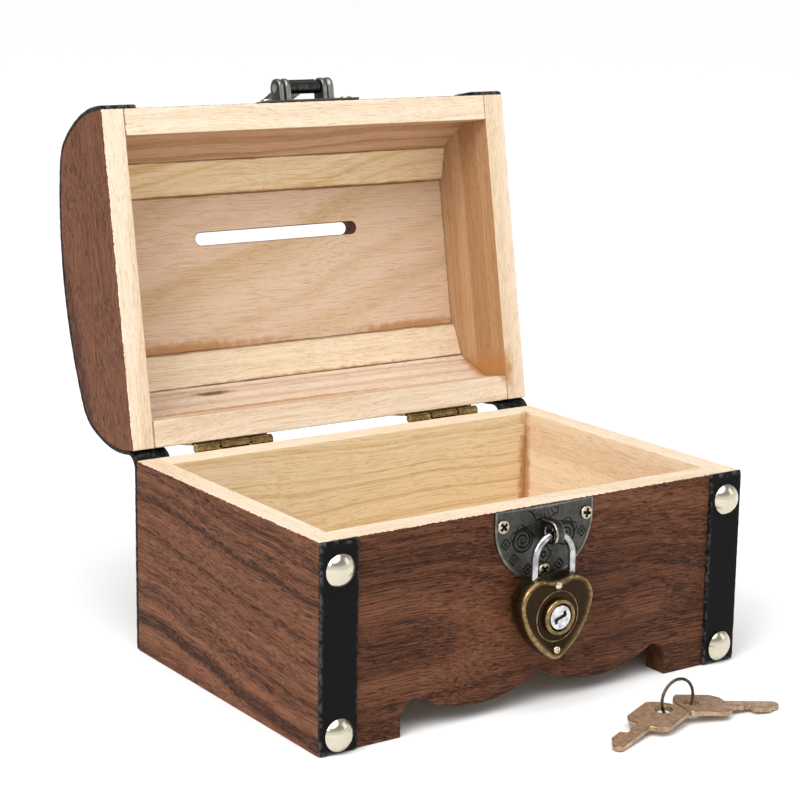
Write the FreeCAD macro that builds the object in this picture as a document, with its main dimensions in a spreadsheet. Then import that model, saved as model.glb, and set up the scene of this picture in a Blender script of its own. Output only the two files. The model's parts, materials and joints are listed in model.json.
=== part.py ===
"""Wooden money box: a small treasure chest with an arched lid, a coin slot and a hasp latch.

The box stands on z = 0 with its front facing -Y; the origin is the middle of its footprint.
Lengths are millimetres. The lid is drawn closed, in place on the base, and each lid piece's
Placement then swings it open about the hinge axis. The hasp is drawn hanging over the staple
and is folded back onto the lid in the same way.
"""

import FreeCAD, Part

import math
import os

import Sketcher
from FreeCAD import Placement, Rotation, Vector

doc = FreeCAD.newDocument("MoneyBox")

SIZES = {
    # wooden base
    "box_length": 150.0,
    "box_depth": 103.0,
    "base_height": 60.0,
    "end_wall": 7.5,
    "side_wall": 8.2,
    "floor_level": 12.0,
    "floor_thickness": 4.0,
    "foot_edge": 48.0,
    "foot_height": 5.0,
    "apron_height": 10.5,
    "apron_dip": 4.6,
    # arched lid
    "lid_gap": 0.3,
    "lid_rise": 36.6,
    "lid_open_angle": 100.0,
    "top_slat_half": 25.0,
    "top_slat_underside": 29.7,
    "slot_length": 62.0,
    "slot_width": 4.2,
    "slot_centre_y": -11.0,
    # leather straps and dome nails
    "strap_width": 12.0,
    "strap_thickness": 1.2,
    "strap_bend": 4.6,
    "stud_diameter": 9.2,
    "stud_height": 2.5,
    "nail_diameter": 1.6,
    "nail_length": 6.0,
    "stud_inset": 6.0,
    "stud_low": 5.6,
    "stud_high": 51.8,
    "lid_stud_rise": 16.0,
    # butt hinges
    "hinge_length": 27.0,
    "hinge_centre": 40.0,
    "hinge_leaf": 1.0,
    "hinge_leaf_height": 9.5,
    "hinge_barrel_radius": 1.5,
    "hinge_pin_radius": 0.7,
    "hinge_back": 1.9,
    "hinge_rise": 0.6,
    "knuckle_length": 11.0,
    "knuckle_gap": 1.0,
    "hinge_screw_x": 9.0,
    "hinge_screw_radius": 1.6,
    "hinge_screw_height": 0.6,
    # latch
    "plate_radius": 17.5,
    "plate_thickness": 0.8,
    "plate_screw_x": 14.9,
    "plate_straight": 4.5,
    "plate_drop": 19.2,
    "screw_head_radius": 2.0,
    "screw_head_height": 0.75,
    "screw_shank_radius": 0.9,
    "screw_length": 6.0,
    "staple_width": 3.0,
    "staple_radius": 3.5,
    "staple_hole_radius": 2.0,
    "staple_drop": 7.3,
    "staple_reach": 4.1,
    "hasp_pin_rise": 6.5,
    "hasp_pin_reach": 4.2,
    "hasp_barrel_radius": 2.0,
    "hasp_width": 11.4,
    "hasp_ear_width": 4.2,
    "hasp_ear_height": 7.2,
    "hasp_length": 23.0,
    "hasp_plate": 1.1,
    "hasp_fold_angle": 197.0,
    # padlock
    "wire_radius": 1.1,
    "shackle_half": 6.65,
    "shackle_leg_drop": 11.6,
    "lock_half_width": 13.0,
    "lock_height": 24.6,
    "lock_thickness": 6.4,
    "lock_skin": 1.0,
    "short_leg": 6.4,
    "long_leg": 9.0,
    "bolt_drop": 4.0,
    "plug_radius": 3.6,
    "plug_drop": 11.7,
    "keyway_turn": 18.0,
    "collar_radius": 5.3,
    # keys and ring
    "ring_radius": 5.8,
    "ring_wire": 0.45,
    "key_thickness": 1.5,
    "key_hole_radius": 2.35,
    "key_spread": 140.0,
    "key_place_x": 26.0,
    "key_place_y": -82.0,
}

sheet = doc.addObject("Spreadsheet::Sheet", "Sizes")
for row, (alias, value) in enumerate(SIZES.items(), start=1):
    sheet.set("A%d" % row, alias)
    sheet.set("B%d" % row, str(value))
    sheet.setAlias("B%d" % row, alias)
doc.recompute()


class Size:
    """Driving dimensions read back from the sheet."""


for alias in SIZES:
    setattr(Size, alias, float(sheet.get(alias)))

HALF_LENGTH = Size.box_length / 2
HALF_DEPTH = Size.box_depth / 2
INNER_X = HALF_LENGTH - Size.end_wall
INNER_Y = HALF_DEPTH - Size.side_wall
RIM = Size.base_height
LID_RIM = RIM + Size.lid_gap
HINGE_Y = HALF_DEPTH + Size.hinge_back
HINGE_Z = RIM + Size.hinge_rise
FRONT = -HALF_DEPTH
PLATE_FACE = FRONT - Size.plate_thickness
STRAP_FACE = HALF_DEPTH + Size.strap_thickness
SIDES = {"left": -1, "right": 1}
CORNER_SOFTENING = 0.5

OPEN = Placement(
    Vector(), Rotation(Vector(1, 0, 0), -Size.lid_open_angle), Vector(0, HINGE_Y, HINGE_Z)
)
HERE = Placement()
pieces = []


# ---------------------------------------------------------------- helpers


def keep(item, label, place=HERE):
    """Name a finished sub-part, place it and put it on the list to be written."""
    item.Label = label
    item.Placement = place
    pieces.append(item)
    return item


def bind(item, **formulas):
    """Bind properties of a document object to cells of the sheet."""
    for name, formula in formulas.items():
        item.setExpression(name, formula)
    return item


def block(name, low, high=None, **formulas):
    """A box from its low corner; its sizes are numbers from the high corner or bound formulas."""
    item = doc.addObject("Part::Box", name)
    if high is not None:
        item.Length, item.Width, item.Height = (b - a for a, b in zip(low, high))
    item.Placement.Base = Vector(*low)
    return bind(item, **formulas)


def rod(name, centre, axis, length, **formulas):
    """A cylinder centred on a point, along an axis."""
    item = doc.addObject("Part::Cylinder", name)
    item.Height = length
    turn = Rotation(Vector(0, 0, 1), Vector(*axis))
    item.Placement = Placement(Vector(*centre) - turn.multVec(Vector(0, 0, length / 2)), turn)
    return bind(item, **formulas)


def cut(name, base, *tools):
    """Take one or more tools away from a base object."""
    for number, tool in enumerate(tools):
        item = doc.addObject("Part::Cut", "%s_cut%d" % (name, number))
        item.Base, item.Tool = base, tool
        base = item
    return base


def join(name, *parts):
    """One solid from several that overlap."""
    item = doc.addObject("Part::MultiFuse", name)
    item.Shapes = list(parts)
    item.Refine = True
    return item


def common(name, first, second):
    item = doc.addObject("Part::MultiCommon", name)
    item.Shapes = [first, second]
    return item


def group(name, parts):
    """Identical separate solids kept together as one sub-part."""
    item = doc.addObject("Part::Compound", name)
    item.Links = list(parts)
    return item


def soften(name, base, radius, wanted):
    """Round the edges of a base object for which wanted(edge) is true."""
    doc.recompute()
    numbers = [n for n, edge in enumerate(base.Shape.Edges, start=1) if wanted(edge)]
    item = doc.addObject("Part::Fillet", name)
    item.Base = base
    item.Edges = [(n, radius, radius) for n in numbers]
    return item


def outline(points):
    """Edges of a closed list of points, each with whether a sketch keeps its direction.

    A point given as ("via", x, y) bends the edge that it stands on; a sketch turns a clockwise
    arc round, so that it runs anticlockwise.
    """
    edges = []
    start, via = points[0], None
    for point in list(points[1:]) + [points[0]]:
        if point[0] == "via":
            via = point[1:]
            continue
        a, b = Vector(*start), Vector(*point)
        if via:
            bend = Vector(*via)
            turn = (bend - a).cross(b - a).z
            edges.append((Part.Arc(a, bend, b), turn > 0))
        else:
            edges.append((Part.LineSegment(a, b), True))
        start, via = point, None
    return edges


def pad(name, plane, offset, points, length, holes=()):
    """A PartDesign body padded from a closed outline, with round holes as (x, y, radius)."""
    body = doc.addObject("PartDesign::Body", name)
    origin = next(f for f in body.Origin.OriginFeatures if f.Role == plane)
    sketch = body.newObject("Sketcher::SketchObject", name + "_sketch")
    sketch.AttachmentSupport = [(origin, "")]
    sketch.MapMode = "FlatFace"
    sketch.AttachmentOffset = Placement(Vector(0, 0, offset), Rotation())
    edges = outline(points)
    for edge, _ in edges:
        sketch.addGeometry(edge, False)
    for number, (_, forward) in enumerate(edges):
        following = (number + 1) % len(edges)
        end, start = (2 if forward else 1), (1 if edges[following][1] else 2)
        sketch.addConstraint(Sketcher.Constraint("Coincident", number, end, following, start))
    for x, y, radius in holes:
        circle = Part.Circle(Vector(x, y, 0), Vector(0, 0, 1), radius)
        sketch.addGeometry(circle, False)
    feature = body.newObject("PartDesign::Pad", name + "_pad")
    feature.Profile = sketch
    if isinstance(length, str):
        feature.setExpression("Length", length)
    else:
        feature.Length = length
    body.Tip = feature
    return body


def mirror_outline(half):
    """A closed outline from its right half, which starts on the middle line."""
    left = []
    for point in reversed(half):
        if point[0] == "via":
            left.append(("via", -point[1], point[2]))
        elif point[0] != 0:
            left.append((-point[0], point[1]))
    return half + left


# ---------------------------------------------------------------- wooden base


def front_outline():
    """Front panel: feet at both ends, with two hanging scallops between them."""
    foot, top = Size.foot_edge, Size.apron_height
    corner = top - Size.foot_height
    shoulder = foot - corner
    bend = corner * (1 - math.sqrt(0.5))
    return mirror_outline(
        [
            (0, top),
            ("via", shoulder / 2, Size.apron_dip),
            (shoulder, top),
            ("via", foot - bend, top - bend),
            (foot, Size.foot_height),
            (foot, 0),
            (INNER_X, 0),
            (INNER_X, RIM),
        ]
    )


def wooden_base():
    for side, sign in SIDES.items():
        low = HALF_LENGTH - Size.end_wall if sign > 0 else -HALF_LENGTH
        panel = block(
            side + "_panel_blank",
            (low, -HALF_DEPTH, 0),
            Length="Sizes.end_wall",
            Width="Sizes.box_depth",
            Height="Sizes.base_height",
        )
        outer = sign * HALF_LENGTH

        def outer_edge(edge):
            mid = edge.CenterOfMass
            return abs(mid.x - outer) < 0.01 and mid.z > 0.01

        keep(
            soften(side + "_panel", panel, CORNER_SOFTENING, outer_edge),
            side + "_side_panel",
        )
    front = pad("front", "XZ_Plane", INNER_Y, front_outline(), "Sizes.side_wall")
    keep(front, "front_panel")
    back = block("back", (-INNER_X, INNER_Y, 0), (INNER_X, HALF_DEPTH, RIM))
    bind(back, Width="Sizes.side_wall", Height="Sizes.base_height")
    keep(back, "back_panel", back.Placement)
    floor = block("floor", (-INNER_X, -INNER_Y, Size.floor_level), (INNER_X, INNER_Y, 0))
    bind(floor, Height="Sizes.floor_thickness")
    keep(floor, "bottom_board", floor.Placement)


# ---------------------------------------------------------------- arched lid

LID_SIDE = (HALF_DEPTH, 6.0)
SIDE_BEND = (49.8, 15.6)
SHOULDER_LOW = (45.4, 24.8)
SHOULDER_BEND = (42.3, 28.6)
SHOULDER_HIGH = (37.5, 31.2)
RAIL_INNER = [(INNER_Y, 12.0), (37.6, 23.2), (36.0, 25.0)]
SHOULDER_INNER = 28.3


def lid_arcs(x):
    """Arched outline of the lid at one x, from the front rim over the top to the back rim."""

    def at(point, side=1):
        return Vector(x, side * point[0], RIM + point[1])

    top = Vector(x, 0, RIM + Size.lid_rise)
    front = [
        Part.Arc(at(LID_SIDE, -1), at(SIDE_BEND, -1), at(SHOULDER_LOW, -1)),
        Part.Arc(at(SHOULDER_LOW, -1), at(SHOULDER_BEND, -1), at(SHOULDER_HIGH, -1)),
    ]
    crown = Part.Arc(at(SHOULDER_HIGH, -1), top, at(SHOULDER_HIGH))
    back = [
        Part.Arc(at(SHOULDER_HIGH), at(SHOULDER_BEND), at(SHOULDER_LOW)),
        Part.Arc(at(SHOULDER_LOW), at(SIDE_BEND), at(LID_SIDE)),
    ]
    return front + [crown] + back


def lid_path(x, front_height, back_height):
    """Wire over the lid at one x, between two heights above the rim."""
    arcs = [arc.toShape() for arc in lid_arcs(x)]
    start = Vector(x, -HALF_DEPTH, RIM + front_height)
    stop = Vector(x, HALF_DEPTH, RIM + back_height)
    first = Part.makeLine(start, Vector(x, -HALF_DEPTH, RIM + LID_SIDE[1]))
    last = Part.makeLine(Vector(x, HALF_DEPTH, RIM + LID_SIDE[1]), stop)
    return Part.Wire([first] + arcs + [last])


def dome(name, low_x, high_x):
    """The lid's full arched section, solid, between two x positions."""
    path = lid_path(low_x, Size.lid_gap, Size.lid_gap)
    back, front = Vector(low_x, HALF_DEPTH, LID_RIM), Vector(low_x, -HALF_DEPTH, LID_RIM)
    face = Part.Face(Part.Wire(path.Edges + [Part.makeLine(back, front)]))
    item = doc.addObject("Part::Feature", name)
    item.Shape = face.extrude(Vector(high_x - low_x, 0, 0))
    return item


def wedge(name, points):
    """Prism along the lid between its two ends, from points in (y, height above the rim)."""
    raised = [(y, RIM + height) for y, height in points]
    return pad(name, "YZ_Plane", -INNER_X, raised, 2 * INNER_X)


def arched_lid():
    for side, sign in SIDES.items():
        low = INNER_X if sign > 0 else -HALF_LENGTH
        end = dome(side + "_end", low, low + Size.end_wall)
        keep(end, "lid_%s_end" % side, OPEN)
    outside = HALF_DEPTH + 5
    above = Size.lid_rise + 5
    joint = (41.6, 31.0)
    shoulder_joint = (outside, 31.0 + (outside - joint[0]) * 1.2)
    slat = Size.top_slat_half
    for side, sign in (("front", -1), ("back", 1)):
        rail = [(INNER_Y, Size.lid_gap)] + RAIL_INNER
        rail += [shoulder_joint, (outside, Size.lid_gap)]
        rail = [(sign * y, height) for y, height in rail]
        shoulder = [RAIL_INNER[-1], (slat, SHOULDER_INNER), (slat, above)]
        shoulder += [(outside, above), shoulder_joint]
        shoulder = [(sign * y, height) for y, height in shoulder]
        for name, points in (("rail", rail), ("shoulder_slat", shoulder)):
            label = "lid_%s_%s" % (side, name)
            blank = dome(label + "_dome", -INNER_X, INNER_X)
            keep(common(label + "_part", blank, wedge(label + "_wedge", points)), label, OPEN)
    low = Size.top_slat_underside
    points = [(-slat, low), (slat, low), (slat, above), (-slat, above)]
    blank = common("top_blank", dome("top_dome", -INNER_X, INNER_X), wedge("top_wedge", points))
    keep(cut("top_slat", blank, slot_cutter()), "lid_top_slat", OPEN)


def slot_cutter():
    """Coin slot with rounded ends."""
    half = (Size.slot_length - Size.slot_width) / 2
    radius = Size.slot_width / 2
    y = Size.slot_centre_y
    points = [
        (-half, y - radius),
        (half, y - radius),
        ("via", half + radius, y),
        (half, y + radius),
        (-half, y + radius),
        ("via", -half - radius, y),
    ]
    return pad("slot_cutter", "XY_Plane", RIM + 20, points, 30)


# ---------------------------------------------------------------- straps and dome nails


def strap_x(sign):
    """Low x of a strap flush with the end of the box."""
    return HALF_LENGTH - Size.strap_width if sign > 0 else -HALF_LENGTH


def bend_geometry():
    """Centre of the strap's bend behind the open lid, and where it meets base and lid."""
    angle = math.radians(Size.lid_open_angle)
    middle = HALF_DEPTH + Size.strap_thickness / 2
    bend = Size.strap_bend
    open_face = OPEN.multVec(Vector(0, middle, HINGE_Z))
    along = Vector(0, math.sin(angle), math.cos(angle))
    inward = Vector(0, math.cos(angle), -math.sin(angle))
    centre_y = middle + bend
    run = (centre_y - open_face.y - bend * inward.y) / along.y
    centre = open_face + along * run + inward * bend
    lid_height = Size.hinge_rise + run
    return centre, lid_height


def band(name, path, thickness, width):
    """Band laid on the outside of a path over the lid."""
    face = path.makeOffset2D(-thickness, fill=True, openResult=True)
    item = doc.addObject("Part::Feature", name)
    item.Shape = face.extrude(Vector(width, 0, 0))
    return item


def straps():
    centre, lid_height = bend_geometry()
    foot_clearance = 0.4
    inner = Size.strap_bend - Size.strap_thickness / 2
    outer = Size.strap_bend + Size.strap_thickness / 2
    for side, sign in SIDES.items():
        low_x = strap_x(sign)
        front = block("front_strap_" + side, (low_x, FRONT - Size.strap_thickness, foot_clearance))
        bind(front, Length="Sizes.strap_width", Width="Sizes.strap_thickness")
        front.setExpression("Height", "Sizes.base_height - %s" % foot_clearance)
        keep(front, "front_strap_" + side, front.Placement)
        back = block("back_strap_" + side, (low_x, HALF_DEPTH, foot_clearance))
        bind(back, Length="Sizes.strap_width", Width="Sizes.strap_thickness")
        back.Height = centre.z - foot_clearance
        keep(back, "back_strap_" + side, back.Placement)
        path = lid_path(low_x, Size.lid_gap + 0.4, lid_height)
        over = band("lid_strap_" + side, path, Size.strap_thickness, Size.strap_width)
        keep(over, "lid_strap_" + side, OPEN)
        tube = Part.makeCylinder(
            outer, Size.strap_width, Vector(low_x, centre.y, centre.z), Vector(1, 0, 0)
        )
        bore = Part.makeCylinder(
            inner, Size.strap_width, Vector(low_x, centre.y, centre.z), Vector(1, 0, 0)
        )
        flex = doc.addObject("Part::Feature", "strap_flex_" + side)
        flex.Shape = tube.cut(bore).common(bend_sector(centre, outer, low_x))
        keep(flex, "strap_flex_" + side)


def bend_sector(centre, reach, low_x):
    """Prism that keeps only the part of the bend between the base and the open lid."""
    turn = math.radians(Size.lid_open_angle)
    far = 2 * reach
    corners = [centre]
    for share in (0, 0.5, 1):
        angle = math.pi - share * turn
        corners.append(centre + Vector(0, far * math.cos(angle), far * math.sin(angle)))
    corners = [Vector(low_x, c.y, c.z) for c in corners]
    face = Part.Face(Part.makePolygon(corners + [corners[0]]))
    return face.extrude(Vector(Size.strap_width, 0, 0))


def stud(name, point, direction):
    """Dome-headed nail: a spherical cap with its nail behind it."""
    half, rise = Size.stud_diameter / 2, Size.stud_height
    radius = (half * half + rise * rise) / (2 * rise)
    cap = doc.addObject("Part::Sphere", name + "_cap")
    bind(
        cap,
        Radius="((Sizes.stud_diameter / 2) ^ 2 + Sizes.stud_height ^ 2) / (2 * Sizes.stud_height)",
    )
    cap.Angle1 = math.degrees(math.asin((radius - rise) / radius))
    aim = Rotation(Vector(0, 0, 1), Vector(*direction))
    base = Vector(*point) - aim.multVec(Vector(0, 0, radius - rise))
    cap.Placement = Placement(base, aim)
    outward = Vector(*direction).normalize()
    middle = Vector(*point) - outward * (Size.nail_length / 2 - 0.5)
    nail = rod(name + "_nail", tuple(middle), direction, Size.nail_length)
    nail.setExpression("Radius", "Sizes.nail_diameter / 2")
    return join(name, cap, nail)


def studs():
    centre_x = HALF_LENGTH - Size.stud_inset
    low, high = Size.stud_low, Size.stud_high
    front = FRONT - Size.strap_thickness
    on_lid, outward = surface_at_height(RIM + Size.lid_stud_rise, Size.strap_thickness)
    base_studs, lid_studs = [], []
    for side, sign in SIDES.items():
        x = sign * centre_x
        for number, z in enumerate((low, high)):
            base_studs.append(stud("front_stud_%s%d" % (side, number), (x, front, z), (0, -1, 0)))
        base_studs.append(stud("back_stud_" + side, (x, STRAP_FACE, low), (0, 1, 0)))
        lid_studs.append(stud("lid_stud_" + side, (x, on_lid.y, on_lid.z), tuple(outward)))
    keep(group("base_studs", base_studs), "base_studs")
    keep(group("lid_studs", lid_studs), "lid_studs", OPEN)


# ---------------------------------------------------------------- hinges


def hinge_leaf(name, centre_x, upward):
    """One leaf of a butt hinge on the back face, with its share of the knuckles."""
    half = Size.hinge_length / 2
    middle = Size.knuckle_length / 2
    play = Size.knuckle_gap / 2
    up = 1 if upward else -1
    reach = Size.hinge_barrel_radius
    near, far = reach + 0.6, reach + Size.hinge_leaf_height
    face = HALF_DEPTH

    def slab(tag, x_low, x_high, z_near, z_far, y_low, y_high):
        z_low, z_high = sorted((HINGE_Z + up * z_near, HINGE_Z + up * z_far))
        low = (centre_x + x_low, y_low, z_low)
        return block(name + tag, low, (centre_x + x_high, y_high, z_high))

    parts = [slab("_plate", -half, half, near, far, face, face + Size.hinge_leaf)]
    if upward:
        spans = [(-middle + play, middle - play)]
    else:
        spans = [(-half, -middle - play), (middle + play, half)]
    for number, (x_low, x_high) in enumerate(spans):
        neck_low = face + 0.4
        parts.append(
            slab("_neck%d" % number, x_low, x_high, 0.2, near + 0.5, neck_low, HINGE_Y - 0.1)
        )
        knuckle = rod(
            name + "_knuckle%d" % number,
            (centre_x + (x_low + x_high) / 2, HINGE_Y, HINGE_Z),
            (1, 0, 0),
            x_high - x_low,
            Radius="Sizes.hinge_barrel_radius",
        )
        parts.append(knuckle)
    bore = rod(name + "_bore", (centre_x, HINGE_Y, HINGE_Z), (1, 0, 0), 2 * half)
    pin_fit = 0.05 if upward else 0.0
    bore.setExpression("Radius", "Sizes.hinge_pin_radius + %s" % pin_fit)
    return cut(name, join(name + "_solid", *parts), bore)


def screw(name, point, direction, head_radius, head_height, length):
    """Pan-head screw whose head's underside sits at a point; direction is out of the surface."""
    outward = Vector(*direction)
    head_middle = Vector(*point) + outward * (head_height / 2)
    head = rod(name + "_head", tuple(head_middle), direction, head_height)
    head.Radius = head_radius
    head_top = head_middle + outward * (head_height / 2)

    def rim_edge(edge):
        return (edge.CenterOfMass - head_top).Length < 0.01

    rounded = soften(name + "_round", head, head_height * 0.7, rim_edge)
    shank_middle = Vector(*point) - outward * (length / 2 - 0.2)
    shank = rod(name + "_shank", tuple(shank_middle), direction, length)
    shank.setExpression("Radius", "Sizes.screw_shank_radius * %s" % (head_radius / 2))
    return join(name, rounded, shank)


def hinges():
    base_screws, lid_screws = [], []
    for side, sign in SIDES.items():
        x = sign * Size.hinge_centre
        keep(hinge_leaf("hinge_base_" + side, x, False), "hinge_%s_base_leaf" % side)
        keep(hinge_leaf("hinge_lid_" + side, x, True), "hinge_%s_lid_leaf" % side, OPEN)
        pin = rod("pin_" + side, (x, HINGE_Y, HINGE_Z), (1, 0, 0), Size.hinge_length)
        bind(pin, Height="Sizes.hinge_length", Radius="Sizes.hinge_pin_radius")
        keep(pin, "hinge_%s_pin" % side, pin.Placement)
        screw_z = Size.hinge_barrel_radius + 5.4
        head = (Size.hinge_screw_radius, Size.hinge_screw_height, 5.0)
        for number, shift in enumerate((-Size.hinge_screw_x, Size.hinge_screw_x)):
            point = (x + shift, HALF_DEPTH + Size.hinge_leaf)
            tag = "%s%d" % (side, number)
            base_screws.append(screw("hb" + tag, (*point, HINGE_Z - screw_z), (0, 1, 0), *head))
            lid_screws.append(screw("hl" + tag, (*point, HINGE_Z + screw_z), (0, 1, 0), *head))
    keep(group("hinge_base_screws", base_screws), "hinge_base_screws")
    keep(group("hinge_lid_screws", lid_screws), "hinge_lid_screws", OPEN)


# ---------------------------------------------------------------- latch


def half_round(radius, straight, sign, start):
    """Plate outline in (x, z): a straight edge at the rim and a half circle away from it."""
    edge = start
    middle = start + sign * straight
    tip = middle + sign * radius
    return [(-radius, edge), (radius, edge), (radius, middle), ("via", 0, tip), (-radius, middle)]


def latch_base():
    edge = RIM - 0.2
    points = half_round(Size.plate_radius, Size.plate_straight, -1, edge)
    plate = pad("base_plate", "XZ_Plane", -FRONT, points, "Sizes.plate_thickness")
    keep(plate, "latch_base_plate")
    z = RIM - Size.staple_drop
    y = -PLATE_FACE
    reach, radius = Size.staple_reach, Size.staple_radius
    staple = pad(
        "staple",
        "YZ_Plane",
        -Size.staple_width / 2,
        [
            (-y, z - radius),
            (-y, z + radius),
            (-y - reach, z + radius),
            ("via", -y - reach - radius, z),
            (-y - reach, z - radius),
        ],
        "Sizes.staple_width",
        holes=[(-y - reach, z, Size.staple_hole_radius)],
    )
    keep(staple, "latch_staple")
    spots = [(-Size.plate_screw_x, RIM - 4.5), (Size.plate_screw_x, RIM - 4.5)]
    spots.append((0, RIM - Size.plate_drop))
    screws = [
        screw(
            "base_screw%d" % number,
            (x, PLATE_FACE, z),
            (0, -1, 0),
            Size.screw_head_radius,
            Size.screw_head_height,
            Size.screw_length,
        )
        for number, (x, z) in enumerate(spots)
    ]
    keep(group("base_plate_screws", screws), "base_plate_screws")


def latch_lid():
    """Lid half of the latch: a plate bent to the lid, two ears, and the hasp's pin."""
    radius = Size.plate_radius
    path = lid_path(-radius, Size.lid_gap + 0.2, Size.lid_gap)
    skin = band("lid_plate_skin", path, Size.plate_thickness, 2 * radius)
    points = half_round(radius, Size.plate_straight, 1, RIM)
    mask = pad("lid_plate_mask", "XZ_Plane", 30, points, HALF_DEPTH)
    plate = common("lid_plate_sheet", skin, mask)
    pin_y = PLATE_FACE - Size.hasp_pin_reach
    pin_z = RIM + Size.hasp_pin_rise
    half = Size.hasp_width / 2
    ears = []
    for side, sign in SIDES.items():
        start = half + 0.3
        low_x = start if sign > 0 else -start - Size.hasp_ear_width
        ear_radius = Size.hasp_ear_height - Size.hasp_pin_reach
        ears.append(
            pad(
                "ear_" + side,
                "YZ_Plane",
                low_x,
                [
                    (PLATE_FACE + 0.3, pin_z - ear_radius),
                    (PLATE_FACE + 0.3, pin_z + ear_radius),
                    (pin_y, pin_z + ear_radius),
                    ("via", pin_y - ear_radius, pin_z),
                    (pin_y, pin_z - ear_radius),
                ],
                "Sizes.hasp_ear_width",
                holes=[(pin_y, pin_z, 0.9)],
            )
        )
    keep(join("lid_plate", plate, *ears), "latch_lid_plate", OPEN)
    pin = rod("hasp_pin_rod", (0, pin_y, pin_z), (1, 0, 0), 2 * (half + Size.hasp_ear_width))
    pin.Radius = 0.9
    keep(group("hasp_pin_part", [pin]), "hasp_pin", OPEN)
    spots = [
        ((-Size.plate_screw_x, FRONT, RIM + 4.5), (0, -1, 0)),
        ((Size.plate_screw_x, FRONT, RIM + 4.5), (0, -1, 0)),
    ]
    screws = []
    for number, (point, direction) in enumerate(spots):
        point = (point[0], PLATE_FACE, point[2])
        screws.append(
            screw(
                "lid_screw%d" % number,
                point,
                direction,
                Size.screw_head_radius,
                Size.screw_head_height,
                Size.screw_length,
            )
        )
    top, direction = surface_at_height(RIM + Size.plate_drop, Size.plate_thickness)
    screws.append(
        screw(
            "lid_screw_top",
            tuple(top),
            tuple(direction),
            Size.screw_head_radius,
            Size.screw_head_height,
            Size.screw_length,
        )
    )
    keep(group("lid_plate_screws", screws), "lid_plate_screws", OPEN)
    hasp(pin_y, pin_z)


def surface_at_height(z, offset):
    """Point a little outside the lid's front face at a height, and the outward direction."""
    arc = lid_arcs(0)[0].toShape().Curve
    centre = arc.Center
    y = centre.y - math.sqrt(arc.Radius**2 - (z - centre.z) ** 2)
    outward = (Vector(0, y, z) - Vector(0, centre.y, centre.z)).normalize()
    return Vector(0, y, z) + outward * offset, outward


def hasp(pin_y, pin_z):
    """Slotted arm that hangs over the staple, on a barrel between the ears."""
    half = Size.hasp_width / 2
    back = PLATE_FACE - 1.3
    front = back - Size.hasp_plate
    arm_top, arm_end = pin_z - 0.4, pin_z - Size.hasp_length
    barrel = rod(
        "hasp_barrel", (0, pin_y, pin_z), (1, 0, 0), Size.hasp_width, Radius="Sizes.hasp_barrel_radius"
    )
    tip = half - 0.6
    arm = pad(
        "hasp_arm",
        "XZ_Plane",
        -back,
        [
            (-half, arm_top),
            (half, arm_top),
            (tip, arm_end + tip),
            ("via", 0, arm_end),
            (-tip, arm_end + tip),
        ],
        "Sizes.hasp_plate",
    )
    slot_half = Size.staple_width / 2 + 0.7
    slot_top = RIM - Size.staple_drop + Size.staple_radius + 1.0
    slot_end = RIM - Size.staple_drop - Size.staple_radius - 1.0
    slot = block("hasp_slot", (-slot_half, front - 2, slot_end), (slot_half, back + 2, slot_top))
    lip = rod("hasp_lip", (0, front - 0.1, arm_end + 1.4), (1, 0, 0), 6.0)
    lip.Radius = 0.9
    bore = rod("hasp_bore", (0, pin_y, pin_z), (1, 0, 0), 2 * half)
    bore.Radius = 0.95
    fold = Placement(
        Vector(), Rotation(Vector(1, 0, 0), -Size.hasp_fold_angle), Vector(0, pin_y, pin_z)
    )
    body = cut("hasp_body", join("hasp_solid", barrel, arm, lip), slot, bore)
    keep(body, "hasp", OPEN * fold)


# ---------------------------------------------------------------- padlock

HANG_Y = PLATE_FACE - Size.staple_reach - 0.2
HANG_Z = RIM - Size.staple_drop - 0.55
LOCK_TOP = HANG_Z - Size.shackle_leg_drop


def heart_outline(inset=0.0):
    """Heart in (x, z) with soft shoulders, a shallow notch and a rounded point."""
    width = Size.lock_half_width - inset
    top, tip = LOCK_TOP - inset, LOCK_TOP - Size.lock_height + inset
    return mirror_outline(
        [
            (0, top - 1.0),
            ("via", 2.8, top - 0.75),
            (5.6, top - 0.05),
            ("via", width - 1.9, top - 2.7),
            (width, top - 7.0),
            ("via", width - 2.7, top - 15.4),
            (2.6, tip + 1.0),
            ("via", 1.3, tip + 0.25),
            (0, tip),
        ]
    )


def lock_shell(name, faces_front):
    """One stamped half of the padlock: a shallow heart-shaped cup."""
    half = Size.lock_thickness / 2
    skin = Size.lock_skin
    outer = heart_outline()
    inner = heart_outline(skin)
    if faces_front:
        start, pocket = -HANG_Y, -HANG_Y - 0.1
    else:
        start, pocket = -HANG_Y - half, -HANG_Y - half + skin
    cup = pad(name + "_outer", "XZ_Plane", start, outer, "Sizes.lock_thickness / 2")
    depth = half - skin + 0.1
    hollow = pad(name + "_hollow", "XZ_Plane", pocket, inner, depth)
    tools = [hollow]
    for side, sign in SIDES.items():
        leg = rod(
            name + "_leg_" + side,
            (sign * Size.shackle_half, HANG_Y, LOCK_TOP - 1),
            (0, 0, 1),
            8,
        )
        leg.setExpression("Radius", "Sizes.wire_radius + 0.25")
        tools.append(leg)
    if faces_front:
        hole = rod(name + "_hole", (0, HANG_Y - half, LOCK_TOP - Size.plug_drop), (0, 1, 0), 4)
        hole.setExpression("Radius", "Sizes.plug_radius + 0.35")
        tools.append(hole)
    return cut(name, cup, *tools)


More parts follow.
